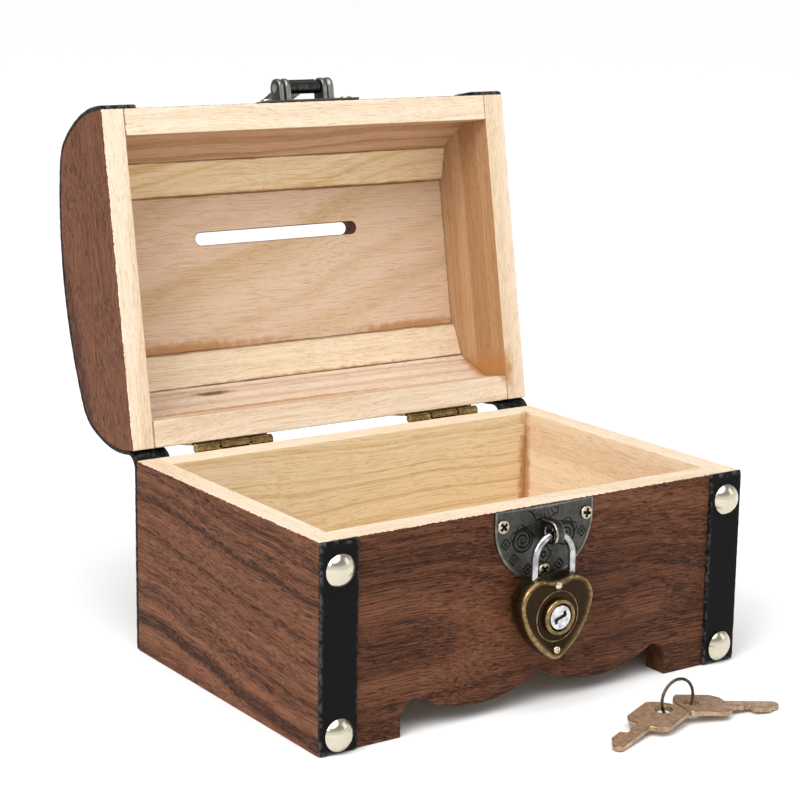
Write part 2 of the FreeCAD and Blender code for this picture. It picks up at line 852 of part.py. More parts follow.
def shackle():
    """Bent wire: a half turn over two legs, the left one longer."""
    half, top = Size.shackle_half, HANG_Z - Size.shackle_half
    left = Vector(-half, HANG_Y, LOCK_TOP - Size.long_leg)
    right = Vector(half, HANG_Y, LOCK_TOP - Size.short_leg)
    arc = Part.Arc(
        Vector(-half, HANG_Y, top), Vector(0, HANG_Y, HANG_Z), Vector(half, HANG_Y, top)
    )
    path = Part.Wire(
        [
            Part.makeLine(left, Vector(-half, HANG_Y, top)),
            arc.toShape(),
            Part.makeLine(Vector(half, HANG_Y, top), right),
        ]
    )
    section = Part.Wire(Part.makeCircle(Size.wire_radius, left, Vector(0, 0, 1)))
    wire = path.makePipeShell([section], True, True)
    notch_low = Vector(half - Size.wire_radius - 1, HANG_Y - 2, LOCK_TOP - Size.bolt_drop - 1)
    notch = Part.makeBox(1.8, 4, 1.9, notch_low)
    item = doc.addObject("Part::Feature", "shackle_wire")
    item.Shape = wire.cut(notch)
    keep(item, "padlock_shackle")


def padlock():
    shackle()
    keep(lock_shell("front_shell", True), "padlock_front_shell")
    keep(lock_shell("back_shell", False), "padlock_back_shell")
    centre_z = LOCK_TOP - Size.plug_drop
    half = Size.lock_thickness / 2
    face = HANG_Y - half
    collar_height = 1.2
    ring = rod(
        "collar_ring",
        (0, face - collar_height / 2, centre_z),
        (0, 1, 0),
        collar_height,
        Radius="Sizes.collar_radius",
    )

    def front_rim(edge):
        return edge.CenterOfMass.y < face - collar_height + 0.01

    rounded = soften("collar_round", ring, 0.8, front_rim)
    bore = rod("collar_bore", (0, face, centre_z), (0, 1, 0), 6)
    bore.setExpression("Radius", "Sizes.plug_radius + 0.05")
    keep(cut("collar", rounded, bore), "padlock_collar")
    rivets = []
    for number, z in enumerate((LOCK_TOP - 2.6, LOCK_TOP - 21.6)):
        rivets.append(screw("rivet%d" % number, (0, face, z), (0, -1, 0), 1.2, 0.5, 5.6))
    keep(group("rivets", rivets), "padlock_rivets")
    plug(centre_z, face)
    bolt(centre_z)


def plug(centre_z, face):
    """Turning plug with a bent keyway, and a cam pin on its back end."""
    length = Size.lock_thickness - Size.lock_skin - 0.4 + 1.0
    start = face - 1.0
    barrel = rod(
        "plug_barrel",
        (0, start + length / 2, centre_z),
        (0, 1, 0),
        length,
        Radius="Sizes.plug_radius",
    )
    depth = 3.6
    slot = block(
        "keyway_slot", (-2.3, start - 1, centre_z - 0.5), (2.3, start + depth, centre_z + 0.5)
    )
    step_high = block(
        "keyway_high", (1.3, start - 1, centre_z - 0.5), (2.3, start + depth, centre_z + 1.2)
    )
    step_low = block(
        "keyway_low", (-2.3, start - 1, centre_z - 1.2), (-1.3, start + depth, centre_z + 0.5)
    )
    keyway = join("keyway", slot, step_high, step_low)
    turn = Rotation(Vector(0, 1, 0), -Size.keyway_turn)
    keyway.Placement = Placement(Vector(), turn, Vector(0, 0, centre_z))
    keep(cut("plug_part", barrel, keyway), "padlock_plug")


def bolt(centre_z):
    """Sliding bolt above the plug, drawn clear of the shackle's short leg, and its spring."""
    nose_z = LOCK_TOP - Size.bolt_drop
    low_y, high_y = HANG_Y - 0.9, HANG_Y + 0.9
    nose_end = Size.shackle_half - Size.wire_radius - 0.35
    bar = block("bolt_bar", (-2.2, low_y, nose_z - 0.6), (nose_end, high_y, nose_z + 0.6))
    keep(bar, "padlock_bolt", bar.Placement)
    turns, radius, wire = 4, 0.75, 0.18
    start = Vector(-2.25 - 2.0, HANG_Y, nose_z)
    helix = Part.makeHelix(2.0 / turns, 2.0, radius)
    section = Part.Wire(Part.makeCircle(wire, Vector(radius, 0, 0), Vector(0, 1, 0)))
    coil = Part.Wire(helix.Edges).makePipeShell([section], True, True)
    item = doc.addObject("Part::Feature", "bolt_spring_coil")
    item.Shape = coil
    keep(item, "bolt_spring", Placement(start, Rotation(Vector(0, 1, 0), 90)))


# ---------------------------------------------------------------- keys


def key_outline():
    """Flat key in its own plane: the ring hole at the origin, the blade along -Y."""
    half = 6.9
    blade = 2.05
    return [
        (-half, 2.0),
        ("via", 0, 4.6),
        (half, 2.0),
        (half, -8.6),
        (half - 2.0, -11.0),
        (blade, -11.4),
        (blade, -25.0),
        ("via", 0.2, -27.4),
        (-blade + 0.4, -25.4),
        (-blade - 1.5, -23.2),
        (-blade - 1.5, -18.6),
        (-blade + 0.6, -17.8),
        (-blade + 0.6, -16.4),
        (-blade, -15.6),
        (-blade, -11.4),
        (-half + 2.0, -11.0),
        (-half, -8.6),
    ]


def keys():
    """Split ring standing between two keys that lie fanned out on the table."""
    ring_z = Size.ring_radius + Size.ring_wire
    chord = 5.0
    hole_z = ring_z - math.sqrt(Size.ring_radius**2 - chord**2)
    centre = Vector(Size.key_place_x, Size.key_place_y, ring_z)
    ring = doc.addObject("Part::Torus", "ring_wire")
    bind(ring, Radius1="Sizes.ring_radius", Radius2="Sizes.ring_wire")
    keep(ring, "key_ring", Placement(centre, Rotation(Vector(1, 0, 0), 90)))
    tip_drop = hole_z - Size.key_thickness / 2
    tilt = math.degrees(math.asin(tip_drop / 27.0)) * 0.93
    for label, sign in (("key_a", -1), ("key_b", 1)):
        flat = pad(
            label + "_blank",
            "XY_Plane",
            -Size.key_thickness / 2,
            key_outline(),
            "Sizes.key_thickness",
            holes=[(0, 0, Size.key_hole_radius)],
        )
        aim = sign * Size.key_spread / 2
        lie = Rotation(Vector(0, 0, 1), aim) * Rotation(Vector(1, 0, 0), tilt)
        spot = Vector(centre.x + sign * chord, centre.y, hole_z)
        keep(flat, label, Placement(spot, lie))


# ---------------------------------------------------------------- build, check and write

wooden_base()
arched_lid()
straps()
studs()
hinges()
latch_base()
latch_lid()
padlock()
keys()
doc.recompute()

for item in doc.Objects:
    if "Invalid" in item.State or "Error" in item.State:
        raise RuntimeError("%s failed: %s" % (item.Name, item.State))
for item in pieces:
    if item.Shape.isNull() or not item.Shape.isValid():
        raise RuntimeError("%s has no valid shape" % item.Label)

os.makedirs("parts", exist_ok=True)
for item in pieces:
    item.Shape.exportStep("parts/%s.step" % item.Label)
    print("%-26s solids %2d  volume %9.1f" % (item.Label, len(item.Shape.Solids), item.Shape.Volume))
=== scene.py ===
"""Looks of the wooden money box: stained wood, leather straps, metal fittings, lock and keys.

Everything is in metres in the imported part's frame: z up, front towards -Y, base on z = 0.
Drawing sizes are given in millimetres and scaled by MM. The lid is shown open, so what rides
on it is drawn closed, where its shape is easy to state, and then swung open by OPEN.
"""

import json
import math
import random

import bmesh
import bpy
from mathutils import Matrix, Quaternion, Vector

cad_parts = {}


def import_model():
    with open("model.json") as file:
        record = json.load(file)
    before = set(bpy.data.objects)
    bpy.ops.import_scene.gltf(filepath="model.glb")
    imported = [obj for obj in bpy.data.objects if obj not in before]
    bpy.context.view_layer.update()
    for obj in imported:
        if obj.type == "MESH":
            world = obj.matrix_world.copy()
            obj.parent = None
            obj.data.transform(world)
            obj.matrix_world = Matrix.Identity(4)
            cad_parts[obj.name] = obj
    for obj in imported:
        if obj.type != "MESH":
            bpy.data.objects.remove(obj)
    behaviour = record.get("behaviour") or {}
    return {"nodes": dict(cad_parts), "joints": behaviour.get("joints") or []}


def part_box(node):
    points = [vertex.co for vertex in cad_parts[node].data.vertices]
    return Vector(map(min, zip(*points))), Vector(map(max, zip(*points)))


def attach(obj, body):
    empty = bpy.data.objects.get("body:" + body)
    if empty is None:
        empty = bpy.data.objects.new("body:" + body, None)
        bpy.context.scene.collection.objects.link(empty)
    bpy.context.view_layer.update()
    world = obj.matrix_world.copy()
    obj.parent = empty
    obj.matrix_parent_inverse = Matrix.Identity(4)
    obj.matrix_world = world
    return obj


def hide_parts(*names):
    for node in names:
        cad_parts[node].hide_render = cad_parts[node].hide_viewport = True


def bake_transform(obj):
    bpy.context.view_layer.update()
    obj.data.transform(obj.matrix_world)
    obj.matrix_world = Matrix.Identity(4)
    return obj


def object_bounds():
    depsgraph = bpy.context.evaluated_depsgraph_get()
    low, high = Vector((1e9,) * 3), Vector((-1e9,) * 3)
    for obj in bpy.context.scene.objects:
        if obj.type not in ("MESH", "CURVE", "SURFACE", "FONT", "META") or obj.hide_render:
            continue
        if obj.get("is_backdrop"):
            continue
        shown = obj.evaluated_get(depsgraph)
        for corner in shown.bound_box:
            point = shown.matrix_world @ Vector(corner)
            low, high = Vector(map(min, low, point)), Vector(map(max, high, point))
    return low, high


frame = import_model()
cad_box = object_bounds()
MM = 0.001

HINGE = Vector(next(j["pos_m"] for j in frame["joints"] if j["name"] == "lid_hinge")) / MM
OPEN_ANGLE = math.radians(100)
OPEN = (
    Matrix.Translation(HINGE)
    @ Matrix.Rotation(-OPEN_ANGLE, 4, "X")
    @ Matrix.Translation(-HINGE)
)


def span(node):
    """Lowest and highest corner of a CAD node, in millimetres."""
    low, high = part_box(node)
    return low / MM, high / MM


def add_object(name, data):
    item = bpy.data.objects.new(name, data)
    bpy.context.scene.collection.objects.link(item)
    return item


PANEL_LOW, PANEL_HIGH = span("left_side_panel")
HALF_LENGTH = -PANEL_LOW.x
HALF_DEPTH = -PANEL_LOW.y
RIM = PANEL_HIGH.z
WALL = PANEL_HIGH.x - PANEL_LOW.x


# ---------------------------------------------------------------- shader graph helper


class Graph:
    """Adds and links the nodes of one material; its sockets work in millimetres."""

    def __init__(self, name):
        self.material = bpy.data.materials.new(name)
        self.material.use_nodes = True
        self.tree = self.material.node_tree
        self.tree.nodes.clear()
        self.shader = self.add("ShaderNodeBsdfPrincipled")
        output = self.add("ShaderNodeOutputMaterial")
        self.tree.links.new(self.shader.outputs[0], output.inputs[0])
        self.coords = self.add("ShaderNodeTexCoord")
        self.place = self.scaled(self.coords.outputs["Object"], 1 / MM)
        self.normal = self.coords.outputs["Normal"]

    def add(self, kind, **settings):
        node = self.tree.nodes.new(kind)
        for name, value in settings.items():
            setattr(node, name, value)
        return node

    def put(self, socket, value):
        """Link a socket, set its number, or leave it alone for None."""
        if isinstance(value, bpy.types.NodeSocket):
            self.tree.links.new(value, socket)
        elif value is not None:
            socket.default_value = value

    def put_all(self, node, *values):
        for socket, value in zip(node.inputs, values):
            self.put(socket, value)

    def fill(self, node, **values):
        """Put a node's inputs by name, with spaces written as underscores."""
        for name, value in values.items():
            self.put(node.inputs[name.replace("_", " ")], value)

    def math(self, operation, first, second=None, third=None):
        node = self.add("ShaderNodeMath", operation=operation)
        self.put_all(node, first, second, third)
        return node.outputs[0]

    def past(self, value, reach):
        """How far a value lies from 0, beyond a reach."""
        return self.math("SUBTRACT", self.math("ABSOLUTE", value), reach)

    def vector(self, operation, first, second=None):
        node = self.add("ShaderNodeVectorMath", operation=operation)
        self.put_all(node, first, second)
        return node.outputs[1 if operation in ("LENGTH", "DOT_PRODUCT") else 0]

    def scaled(self, vector, factor):
        node = self.add("ShaderNodeVectorMath", operation="SCALE")
        self.fill(node, Vector=vector, Scale=factor)
        return node.outputs[0]

    def turned(self, vector, centre, angle):
        """A vector turned about X."""
        node = self.add("ShaderNodeVectorRotate", rotation_type="X_AXIS")
        self.fill(node, Vector=vector, Center=centre, Angle=angle)
        return node.outputs[0]

    def split(self, vector):
        node = self.add("ShaderNodeSeparateXYZ")
        self.put(node.inputs[0], vector)
        return node.outputs

    def join(self, x, y, z):
        node = self.add("ShaderNodeCombineXYZ")
        self.put_all(node, x, y, z)
        return node.outputs[0]

    def noise(self, vector, scale, detail, roughness=0.55, distortion=0.0):
        node = self.add("ShaderNodeTexNoise")
        self.fill(node, Vector=vector, Scale=scale, Detail=detail)
        self.fill(node, Roughness=roughness, Distortion=distortion)
        return node.outputs["Fac"]

    def cells(self, vector, scale):
        node = self.add("ShaderNodeTexVoronoi")
        self.fill(node, Vector=vector, Scale=scale)
        return node.outputs["Distance"]

    def ease(self, value, low, high, start=0.0, end=1.0):
        """Smooth step of a value from low to high, read out between start and end."""
        node = self.add("ShaderNodeMapRange", interpolation_type="SMOOTHSTEP")
        self.fill(node, Value=value, From_Min=low, From_Max=high, To_Min=start, To_Max=end)
        return node.outputs["Result"]

    def ramp(self, value, *stops):
        """Colour read from stops of (position, colour) by a value."""
        node = self.add("ShaderNodeValToRGB")
        elements = node.color_ramp.elements
        while len(elements) < len(stops):
            elements.new(0.5)
        for element, (position, colour) in zip(elements, stops):
            element.position = position
            element.color = (*colour, 1.0)
        self.put(node.inputs[0], value)
        return node.outputs[0]

    def mix(self, factor, first, second):
        node = self.add("ShaderNodeMix", data_type="RGBA")
        self.put(node.inputs["Factor"], factor)
        for name, value in (("A", first), ("B", second)):
            socket = next(s for s in node.inputs if s.name == name and s.type == "RGBA")
            self.put(socket, (*value, 1.0) if isinstance(value, tuple) else value)
        return next(s for s in node.outputs if s.type == "RGBA")

    def attribute(self, name):
        return self.add("ShaderNodeAttribute", attribute_name=name).outputs["Fac"]

    def bump(self, height, distance, strength):
        node = self.add("ShaderNodeBump")
        self.fill(node, Strength=strength, Distance=distance * MM, Height=height)
        self.fill(self.shader, Normal=node.outputs[0])

    def finish(self, **values):
        """Put the shader's inputs and give the material."""
        self.fill(self.shader, **values)
        return self.material


# ---------------------------------------------------------------- wood


INNER_X, INNER_Y = HALF_LENGTH - WALL, -span("front_panel")[1].y
STAIN_DARK, STAIN_MID = (0.050, 0.017, 0.008), (0.119, 0.042, 0.019)
STAIN_LIGHT, STAIN_PORE = (0.196, 0.080, 0.039), (0.020, 0.008, 0.006)
GLUE, KNOT, SEAM = (0.44, 0.21, 0.075), (0.13, 0.055, 0.022), (0.15, 0.06, 0.025)
SANDED_RIM, SANDED_STREAK = (0.78, 0.655, 0.505), (0.72, 0.57, 0.41)
COIN_SLOT_HALF, COIN_SLOT_RADIUS, COIN_SLOT_Y = 28.9, 2.1, -11.0
UNDERSIDE, SKIN = 10.9, 0.3
SLAT_JOINTS = ((36.0, 25.0), (25.0, 28.3), (25.0, 29.7))
# frequency per millimetre and reach of the grain's wander
WANDER_RATE, WANDER_REACH = (0.016, 0.016, 0.022), 9.0
# frequency per millimetre along and across the grain
FIBRES, LONG_PORES, SHORT_PORES = (0.035, 2.8, 2.8), (0.12, 3.2, 3.2), (0.5, 3.4, 3.4)
FIBRE_TINT, PORE_TINT = (0.82, 0.68, 0.52), (0.55, 0.38, 0.24)


def grain_space(graph, place, along, offset, tilt, seed):
    """Board coordinates: x along the grain, y and z across it, with the tree's heart off centre."""
    x, y, z = graph.split(place)
    length, side = (x, y) if along == "X" else (y, x)
    slow = graph.vector("MULTIPLY", place, WANDER_RATE)
    slow = graph.vector("ADD", slow, (seed * 3.7, seed * 1.3, seed * 2.1))
    swing = graph.math("SUBTRACT", graph.noise(slow, 1.0, 1.5), 0.5)
    wander = graph.math("MULTIPLY", swing, WANDER_REACH)
    drift = graph.math("MULTIPLY_ADD", length, tilt, wander)
    side = graph.math("ADD", graph.math("ADD", side, offset[0]), drift)
    height = graph.math("ADD", graph.math("ADD", z, offset[1]), drift)
    return graph.join(length, side, height)


def wood_pattern(graph, board, gap, slant, seed):
    """Growth rings, fibre streaks and open pores of one board, each from 0 to 1."""
    shifted = graph.vector("ADD", board, (seed * 37.0, seed * 11.0, seed * 5.0))
    length, side, height = graph.split(board)
    lean = graph.math("MULTIPLY", length, slant)
    across = graph.join(0.0, graph.math("ADD", side, lean), graph.math("ADD", height, lean))
    radius = graph.math("DIVIDE", graph.vector("LENGTH", across), gap)
    rings = graph.noise(graph.join(radius, seed * 3.1, 0.0), 1.0, 2.0, 0.6)
    fibre = graph.noise(graph.vector("MULTIPLY", shifted, FIBRES), 1.0, 3.0, 0.6, 0.1)
    dense = graph.ease(rings, 0.48, 0.64, 0.0, 0.08)
    long_pores = graph.noise(graph.vector("MULTIPLY", shifted, LONG_PORES), 1.0, 1.0, 0.4, 0.15)
    short_pores = graph.noise(graph.vector("MULTIPLY", shifted, SHORT_PORES), 1.0, 1.0, 0.4)
    long_pores = graph.ease(graph.math("ADD", long_pores, dense), 0.60, 0.71)
    short_pores = graph.ease(graph.math("ADD", short_pores, dense), 0.63, 0.73)
    return rings, fibre, graph.math("MAXIMUM", long_pores, short_pores)


def stained_colour(graph, rings, fibre, pores):
    """Stained wood: fibre lightens it, rings and pores darken it."""
    tone = graph.math("MULTIPLY_ADD", rings, -0.72, graph.math("MULTIPLY_ADD", fibre, 0.85, 0.43))
    stops = ((0.34, STAIN_DARK), (0.50, STAIN_MID), (0.68, STAIN_LIGHT))
    return graph.mix(graph.math("MULTIPLY", pores, 0.85), graph.ramp(tone, *stops), STAIN_PORE)


def pale_colour(graph, pale, streak, rings, fibre, pores):
    """Bare wood: pale between the rings, streaked on them, with darker fibre and pores."""
    base = graph.ramp(graph.ease(rings, 0.42, 0.64), (0.0, pale), (1.0, streak))
    deep, tick = (tuple(a * b for a, b in zip(streak, tint)) for tint in (FIBRE_TINT, PORE_TINT))
    fine = graph.mix(graph.ease(fibre, 0.50, 0.68, 0.0, 0.6), base, deep)
    return graph.mix(graph.math("MULTIPLY", pores, 0.26), fine, tick)


def outside_of_base(graph, place):
    """1 on the stained faces of the base, 0 on the rim and inside."""
    x, y, z = graph.split(place)
    over_x = graph.past(x, HALF_LENGTH - SKIN)
    over_y = graph.past(y, HALF_DEPTH - SKIN)
    over = graph.math("MAXIMUM", over_x, over_y)
    under = graph.math("SUBTRACT", UNDERSIDE, z)
    outside = graph.ease(graph.math("MAXIMUM", over, under), -0.05, 0.1)
    ragged = graph.noise(place, 0.9, 2.0)
    edge = graph.math("ADD", z, graph.math("MULTIPLY", ragged, 0.6))
    return graph.math("MULTIPLY", outside, graph.ease(edge, RIM + 0.26, RIM + 0.12))


def outside_of_lid(graph, place, normal):
    """1 on the stained faces of the closed lid, 0 on its rim and inside."""
    x, y, z = graph.split(place)
    radial = graph.vector("NORMALIZE", graph.join(0.0, y, graph.math("SUBTRACT", z, RIM - 6.0)))
    outward = graph.ease(graph.vector("DOT_PRODUCT", normal, radial), 0.35, 0.5)
    end = graph.ease(graph.math("ABSOLUTE", x), HALF_LENGTH - SKIN, HALF_LENGTH - 0.2)
    side = graph.math("MAXIMUM", outward, end)
    ragged = graph.noise(place, 0.9, 2.0)
    edge = graph.math("SUBTRACT", z, graph.math("MULTIPLY", ragged, 0.6))
    return graph.math("MULTIPLY", side, graph.ease(edge, RIM + 0.04, RIM + 0.18))


def coin_slot(graph, place):
    """1 on the walls of the coin slot in the closed lid's top slat."""
    x, y, _ = graph.split(place)
    along = graph.math("MAXIMUM", graph.past(x, COIN_SLOT_HALF), 0.0)
    across = graph.math("SUBTRACT", y, COIN_SLOT_Y)
    reach = graph.vector("LENGTH", graph.join(along, across, 0.0))
    return graph.ease(reach, COIN_SLOT_RADIUS + 0.3, COIN_SLOT_RADIUS + 0.05)


def daub(graph, place, centre, radii):
    """1 inside a ragged ellipsoid, 0 outside: glue squeezed out of a joint, or a knot."""
    inside = graph.vector("SUBTRACT", place, centre)
    inside = graph.vector("LENGTH", graph.vector("DIVIDE", inside, radii))
    ragged = graph.math("MULTIPLY", graph.noise(place, 0.33, 4.0, 0.65), 1.3)
    return graph.ease(graph.math("ADD", inside, ragged), 1.85, 1.0)


def lid_seams(graph, place):
    """1 on the ragged dark lines inside the lid, where its slats meet each other and the ends."""
    x, y, z = graph.split(place)
    nearest = graph.math("ABSOLUTE", graph.past(x, INNER_X))
    for side, height in SLAT_JOINTS:
        aside = graph.past(y, side)
        above = graph.math("SUBTRACT", z, RIM + height)
        gap = graph.vector("LENGTH", graph.join(0.0, aside, above))
        nearest = graph.math("MINIMUM", nearest, gap)
    drawn_out = graph.vector("MULTIPLY", place, (0.12, 1.0, 1.0))
    ragged = graph.math("MULTIPLY", graph.noise(drawn_out, 0.6, 3.0), 0.9)
    return graph.ease(graph.math("ADD", nearest, ragged), 0.95, 0.55)


def wood(
    name, along, seed, pale, streak, offset, tilt=0.0, slant=0.0, gap=4.0, glue=(), knots=(),
    painted_light=1.0,
):
    """Board stained outside and bare inside; its grain runs along X or Y. A factor scales the
    stained colour: painted light where it is above 1, painted shade where it is below 1.

    The heart of the tree lies at an offset across the board and drifts by tilt along it; gap is
    the width of a growth ring, and slant leans the rings along the board.
    """
    graph = Graph(name)
    place, normal = graph.place, graph.normal
    if name.startswith("lid_"):
        place = graph.turned(place, tuple(HINGE), OPEN_ANGLE)
        normal = graph.turned(normal, (0.0, 0.0, 0.0), OPEN_ANGLE)
        outside = outside_of_lid(graph, place, normal)
        facing = graph.ease(graph.split(normal)[2], -0.5, -0.8)
    else:
        outside = outside_of_base(graph, place)
        facing = graph.ease(graph.split(normal)[2], 0.5, 0.8)
    if name == "lid_top_slat":
        outside = graph.math("MAXIMUM", outside, coin_slot(graph, place))
    board = grain_space(graph, place, along, offset, tilt, seed)
    rings, fibre, pores = wood_pattern(graph, board, gap, slant, seed)
    # painted light and shade: the stained colour is scaled by the board's factor, for how the light
    # falls on that face of the box
    stained = graph.scaled(stained_colour(graph, rings, fibre, pores), painted_light)
    bare = pale_colour(graph, pale, streak, rings, fibre, pores)
    rim = pale_colour(graph, SANDED_RIM, SANDED_STREAK, rings, fibre, pores)
    distance = graph.math("ABSOLUTE", graph.math("SUBTRACT", graph.split(place)[2], RIM))
    bare = graph.mix(graph.math("MULTIPLY", facing, graph.ease(distance, 1.5, 0.8)), bare, rim)
    for daubs, strength, tone in ((knots, 0.9, KNOT), (glue, 0.85, GLUE)):
        for centre, radii in daubs:
            spot = graph.math("MULTIPLY", daub(graph, place, centre, radii), strength)
            bare = graph.mix(spot, bare, tone)
    if name.startswith("lid_") and along == "X":
        bare = graph.mix(graph.math("MULTIPLY", lid_seams(graph, place), 0.75), bare, SEAM)
    colour = graph.mix(outside, bare, stained)
    relief = graph.math("MULTIPLY_ADD", pores, -1.0, graph.math("MULTIPLY", fibre, 0.5))
    depth = graph.math("MULTIPLY", relief, graph.ease(outside, 0.0, 1.0, 0.35, 1.0))
    graph.bump(depth, 0.14, 0.7)
    rough = graph.math("MULTIPLY_ADD", pores, 0.15, graph.ease(outside, 0.0, 1.0, 0.7, 0.6))
    return graph.finish(Base_Color=colour, Roughness=rough, Specular_IOR_Level=0.14)


# ---------------------------------------------------------------- leather and metals


LEATHER_DARK, LEATHER_LIGHT = (0.0028, 0.0028, 0.0031), (0.0058, 0.0058, 0.0062)
LEATHER_WORN = (0.11, 0.105, 0.10)


def leather():
    graph = Graph("black_leather")
    pebbles = graph.cells(graph.place, 2.4)
    fine = graph.noise(graph.place, 3.6, 4.0)
    wear = graph.attribute("wear")
    scuff = graph.noise(graph.place, 0.6, 5.0, 0.7)
    worn = graph.math("MULTIPLY", wear, graph.ease(scuff, 0.44, 0.60, 0.0, 0.8))
    base = graph.mix(graph.ease(fine, 0.35, 0.7), LEATHER_DARK, LEATHER_LIGHT)
    colour = graph.mix(worn, base, LEATHER_WORN)
    graph.bump(graph.math("MULTIPLY_ADD", fine, 0.6, pebbles), 0.07, 0.5)
    rough = graph.ease(scuff, 0.3, 0.75, 0.55, 0.72)
    return graph.finish(Base_Color=colour, Roughness=rough, Specular_IOR_Level=0.09)


def metal(
    name, dark, bright, rough_low, rough_high, spots=0.5, rubbed=None, tint=None, metallic=1.0
):
    """Aged metal from dark to bright: mottled, or by the wear attribute where rubbed is given.

    A metallic value under 1 leaves the rest to a dull patina.
    """
    graph = Graph(name)
    mottle = graph.noise(graph.place, spots, 4.0, 0.6)
    fine = graph.noise(graph.place, 4.0, 3.0)
    mixed = graph.math("MULTIPLY_ADD", fine, 0.4, graph.math("MULTIPLY", mottle, 0.6))
    if rubbed is None:
        tone = graph.ease(mixed, 0.38, 0.63)
    else:
        patchy = graph.ease(mixed, 0.38, 0.62, rubbed, 1.0)
        tone = graph.math("MULTIPLY", graph.attribute("wear"), patchy)
    colour = graph.mix(tone, dark, bright)
    if tint:
        patches = graph.ease(graph.noise(graph.place, spots * 1.7, 3.0), 0.45, 0.62)
        colour = graph.mix(graph.math("MULTIPLY", patches, 0.6), colour, tint)
    graph.bump(fine, 0.03, 0.3)
    rough = graph.ease(tone, 0.0, 1.0, rough_high, rough_low)
    return graph.finish(Base_Color=colour, Roughness=rough, Metallic=metallic)


# dark colour, bright colour, roughness when bright and when dark, scale of the spots,
# wear where rubbed least, tint of patches, share of metal
METALS = {
    "nickel_dome": ((0.10, 0.085, 0.06), (0.90, 0.83, 0.66), 0.11, 0.3, 0.3, 0.88),
    "gunmetal_plate": ((0.010, 0.010, 0.010), (0.34, 0.33, 0.30), 0.32, 0.5, 0.6, 0.6),
    "brass_screw": ((0.012, 0.010, 0.007), (0.74, 0.66, 0.48), 0.22, 0.45, 0.8, 0.7),
    "antique_brass_hinge": ((0.13, 0.085, 0.035), (0.42, 0.29, 0.12), 0.2, 0.34, 0.5),
    "shackle_steel": ((0.28, 0.28, 0.29), (0.62, 0.62, 0.62), 0.12, 0.2, 0.3),
    "antique_bronze": ((0.026, 0.016, 0.009), (0.37, 0.25, 0.11), 0.22, 0.4, 0.7, 0.4),
    "plug_chrome": ((0.4, 0.4, 0.42), (0.85, 0.85, 0.85), 0.08, 0.2, 0.6),
    "key_bronze": (
        (0.24, 0.155, 0.095), (0.50, 0.35, 0.225), 0.34, 0.5, 0.55, None,
        (0.49, 0.255, 0.165), 0.4,
    ),
    "key_edge": ((0.20, 0.14, 0.075), (0.62, 0.48, 0.28), 0.28, 0.4, 0.8),
    "gunmetal_body": ((0.030, 0.029, 0.028), (0.095, 0.090, 0.083), 0.28, 0.42, 0.4),
    "gunmetal_edge": ((0.20, 0.18, 0.16), (0.62, 0.57, 0.51), 0.22, 0.35, 0.9),
    "hinge_edge": ((0.24, 0.17, 0.07), (0.80, 0.62, 0.32), 0.2, 0.3, 0.8),
    "ring_bronze": ((0.045, 0.036, 0.026), (0.17, 0.14, 0.10), 0.25, 0.4, 0.8),
}
LOOKS = {name: metal(name, *look) for name, look in METALS.items()}
LOOKS["black_leather"] = leather()


# ---------------------------------------------------------------- mesh helpers


# merging distance in millimetres, and angles in degrees
MERGE_GAP, FLAT_ANGLE, BEVEL_ANGLE, HARD_ANGLE = 0.002, 0.5, 32, 38


class Shape:
    """Closed surfaces gathered into one mesh, in millimetres; each corner holds its wear."""

    def __init__(self):
        self.points, self.faces, self.wear = [], [], []

    def loft(self, rings, wear, closed=False):
        """Skin through rings of equally many points; open lofts are capped at both ends."""
        base, count, total = len(self.points), len(rings[0]), len(rings)
        for number, ring in enumerate(rings):
            self.points += [Vector(p) for p in ring]
            self.wear += wear[number]
        for number in range(total if closed else total - 1):
            here = base + number * count
            there = base + (number + 1) % total * count
            for corner in range(count):
                after = (corner + 1) % count
                self.faces.append((here + corner, here + after, there + after, there + corner))
        if not closed:
            last = base + (total - 1) * count
            self.faces.append(tuple(base + c for c in reversed(range(count))))
            self.faces.append(tuple(last + c for c in range(count)))

    def lathe(self, profile, place, axis, segments, closed=False):
        """Profile of (radius, height, wear) turned about an axis through a place."""
        turn = Vector((0, 0, 1)).rotation_difference(Vector(axis))
        rings, wear = [], []
        for radius, height, worn in profile:
            ring = []
            for step in range(segments):
                angle = math.tau * step / segments
                spoke = Vector((radius * math.cos(angle), radius * math.sin(angle), height))
                ring.append(Vector(place) + turn @ spoke)
            rings.append(ring)
            wear.append([worn] * segments)
        self.loft(rings, wear, closed)

    def make(self, name, body, slot, replaces=(), on_lid=False):
        """Object that rides on a body; on_lid swings it open from the closed lid's place."""
        mesh = bpy.data.meshes.new(name)
        place = OPEN if on_lid else Matrix.Identity(4)
        mesh.from_pydata([place @ p * MM for p in self.points], [], self.faces)
        worn = mesh.attributes.new("wear", "FLOAT", "POINT")
        worn.data.foreach_set("value", self.wear)
        shell = bmesh.new()
        shell.from_mesh(mesh)
        bmesh.ops.recalc_face_normals(shell, faces=shell.faces)
        shell.to_mesh(mesh)
        shell.free()
        mesh.polygons.foreach_set("use_smooth", [True] * len(mesh.polygons))
        mesh.set_sharp_from_angle(angle=math.radians(HARD_ANGLE))
        item = add_object(name, mesh)
        mesh.materials.append(LOOKS[slot])
        if body:
            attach(item, body)
        if replaces:
            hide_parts(*replaces)
        return item


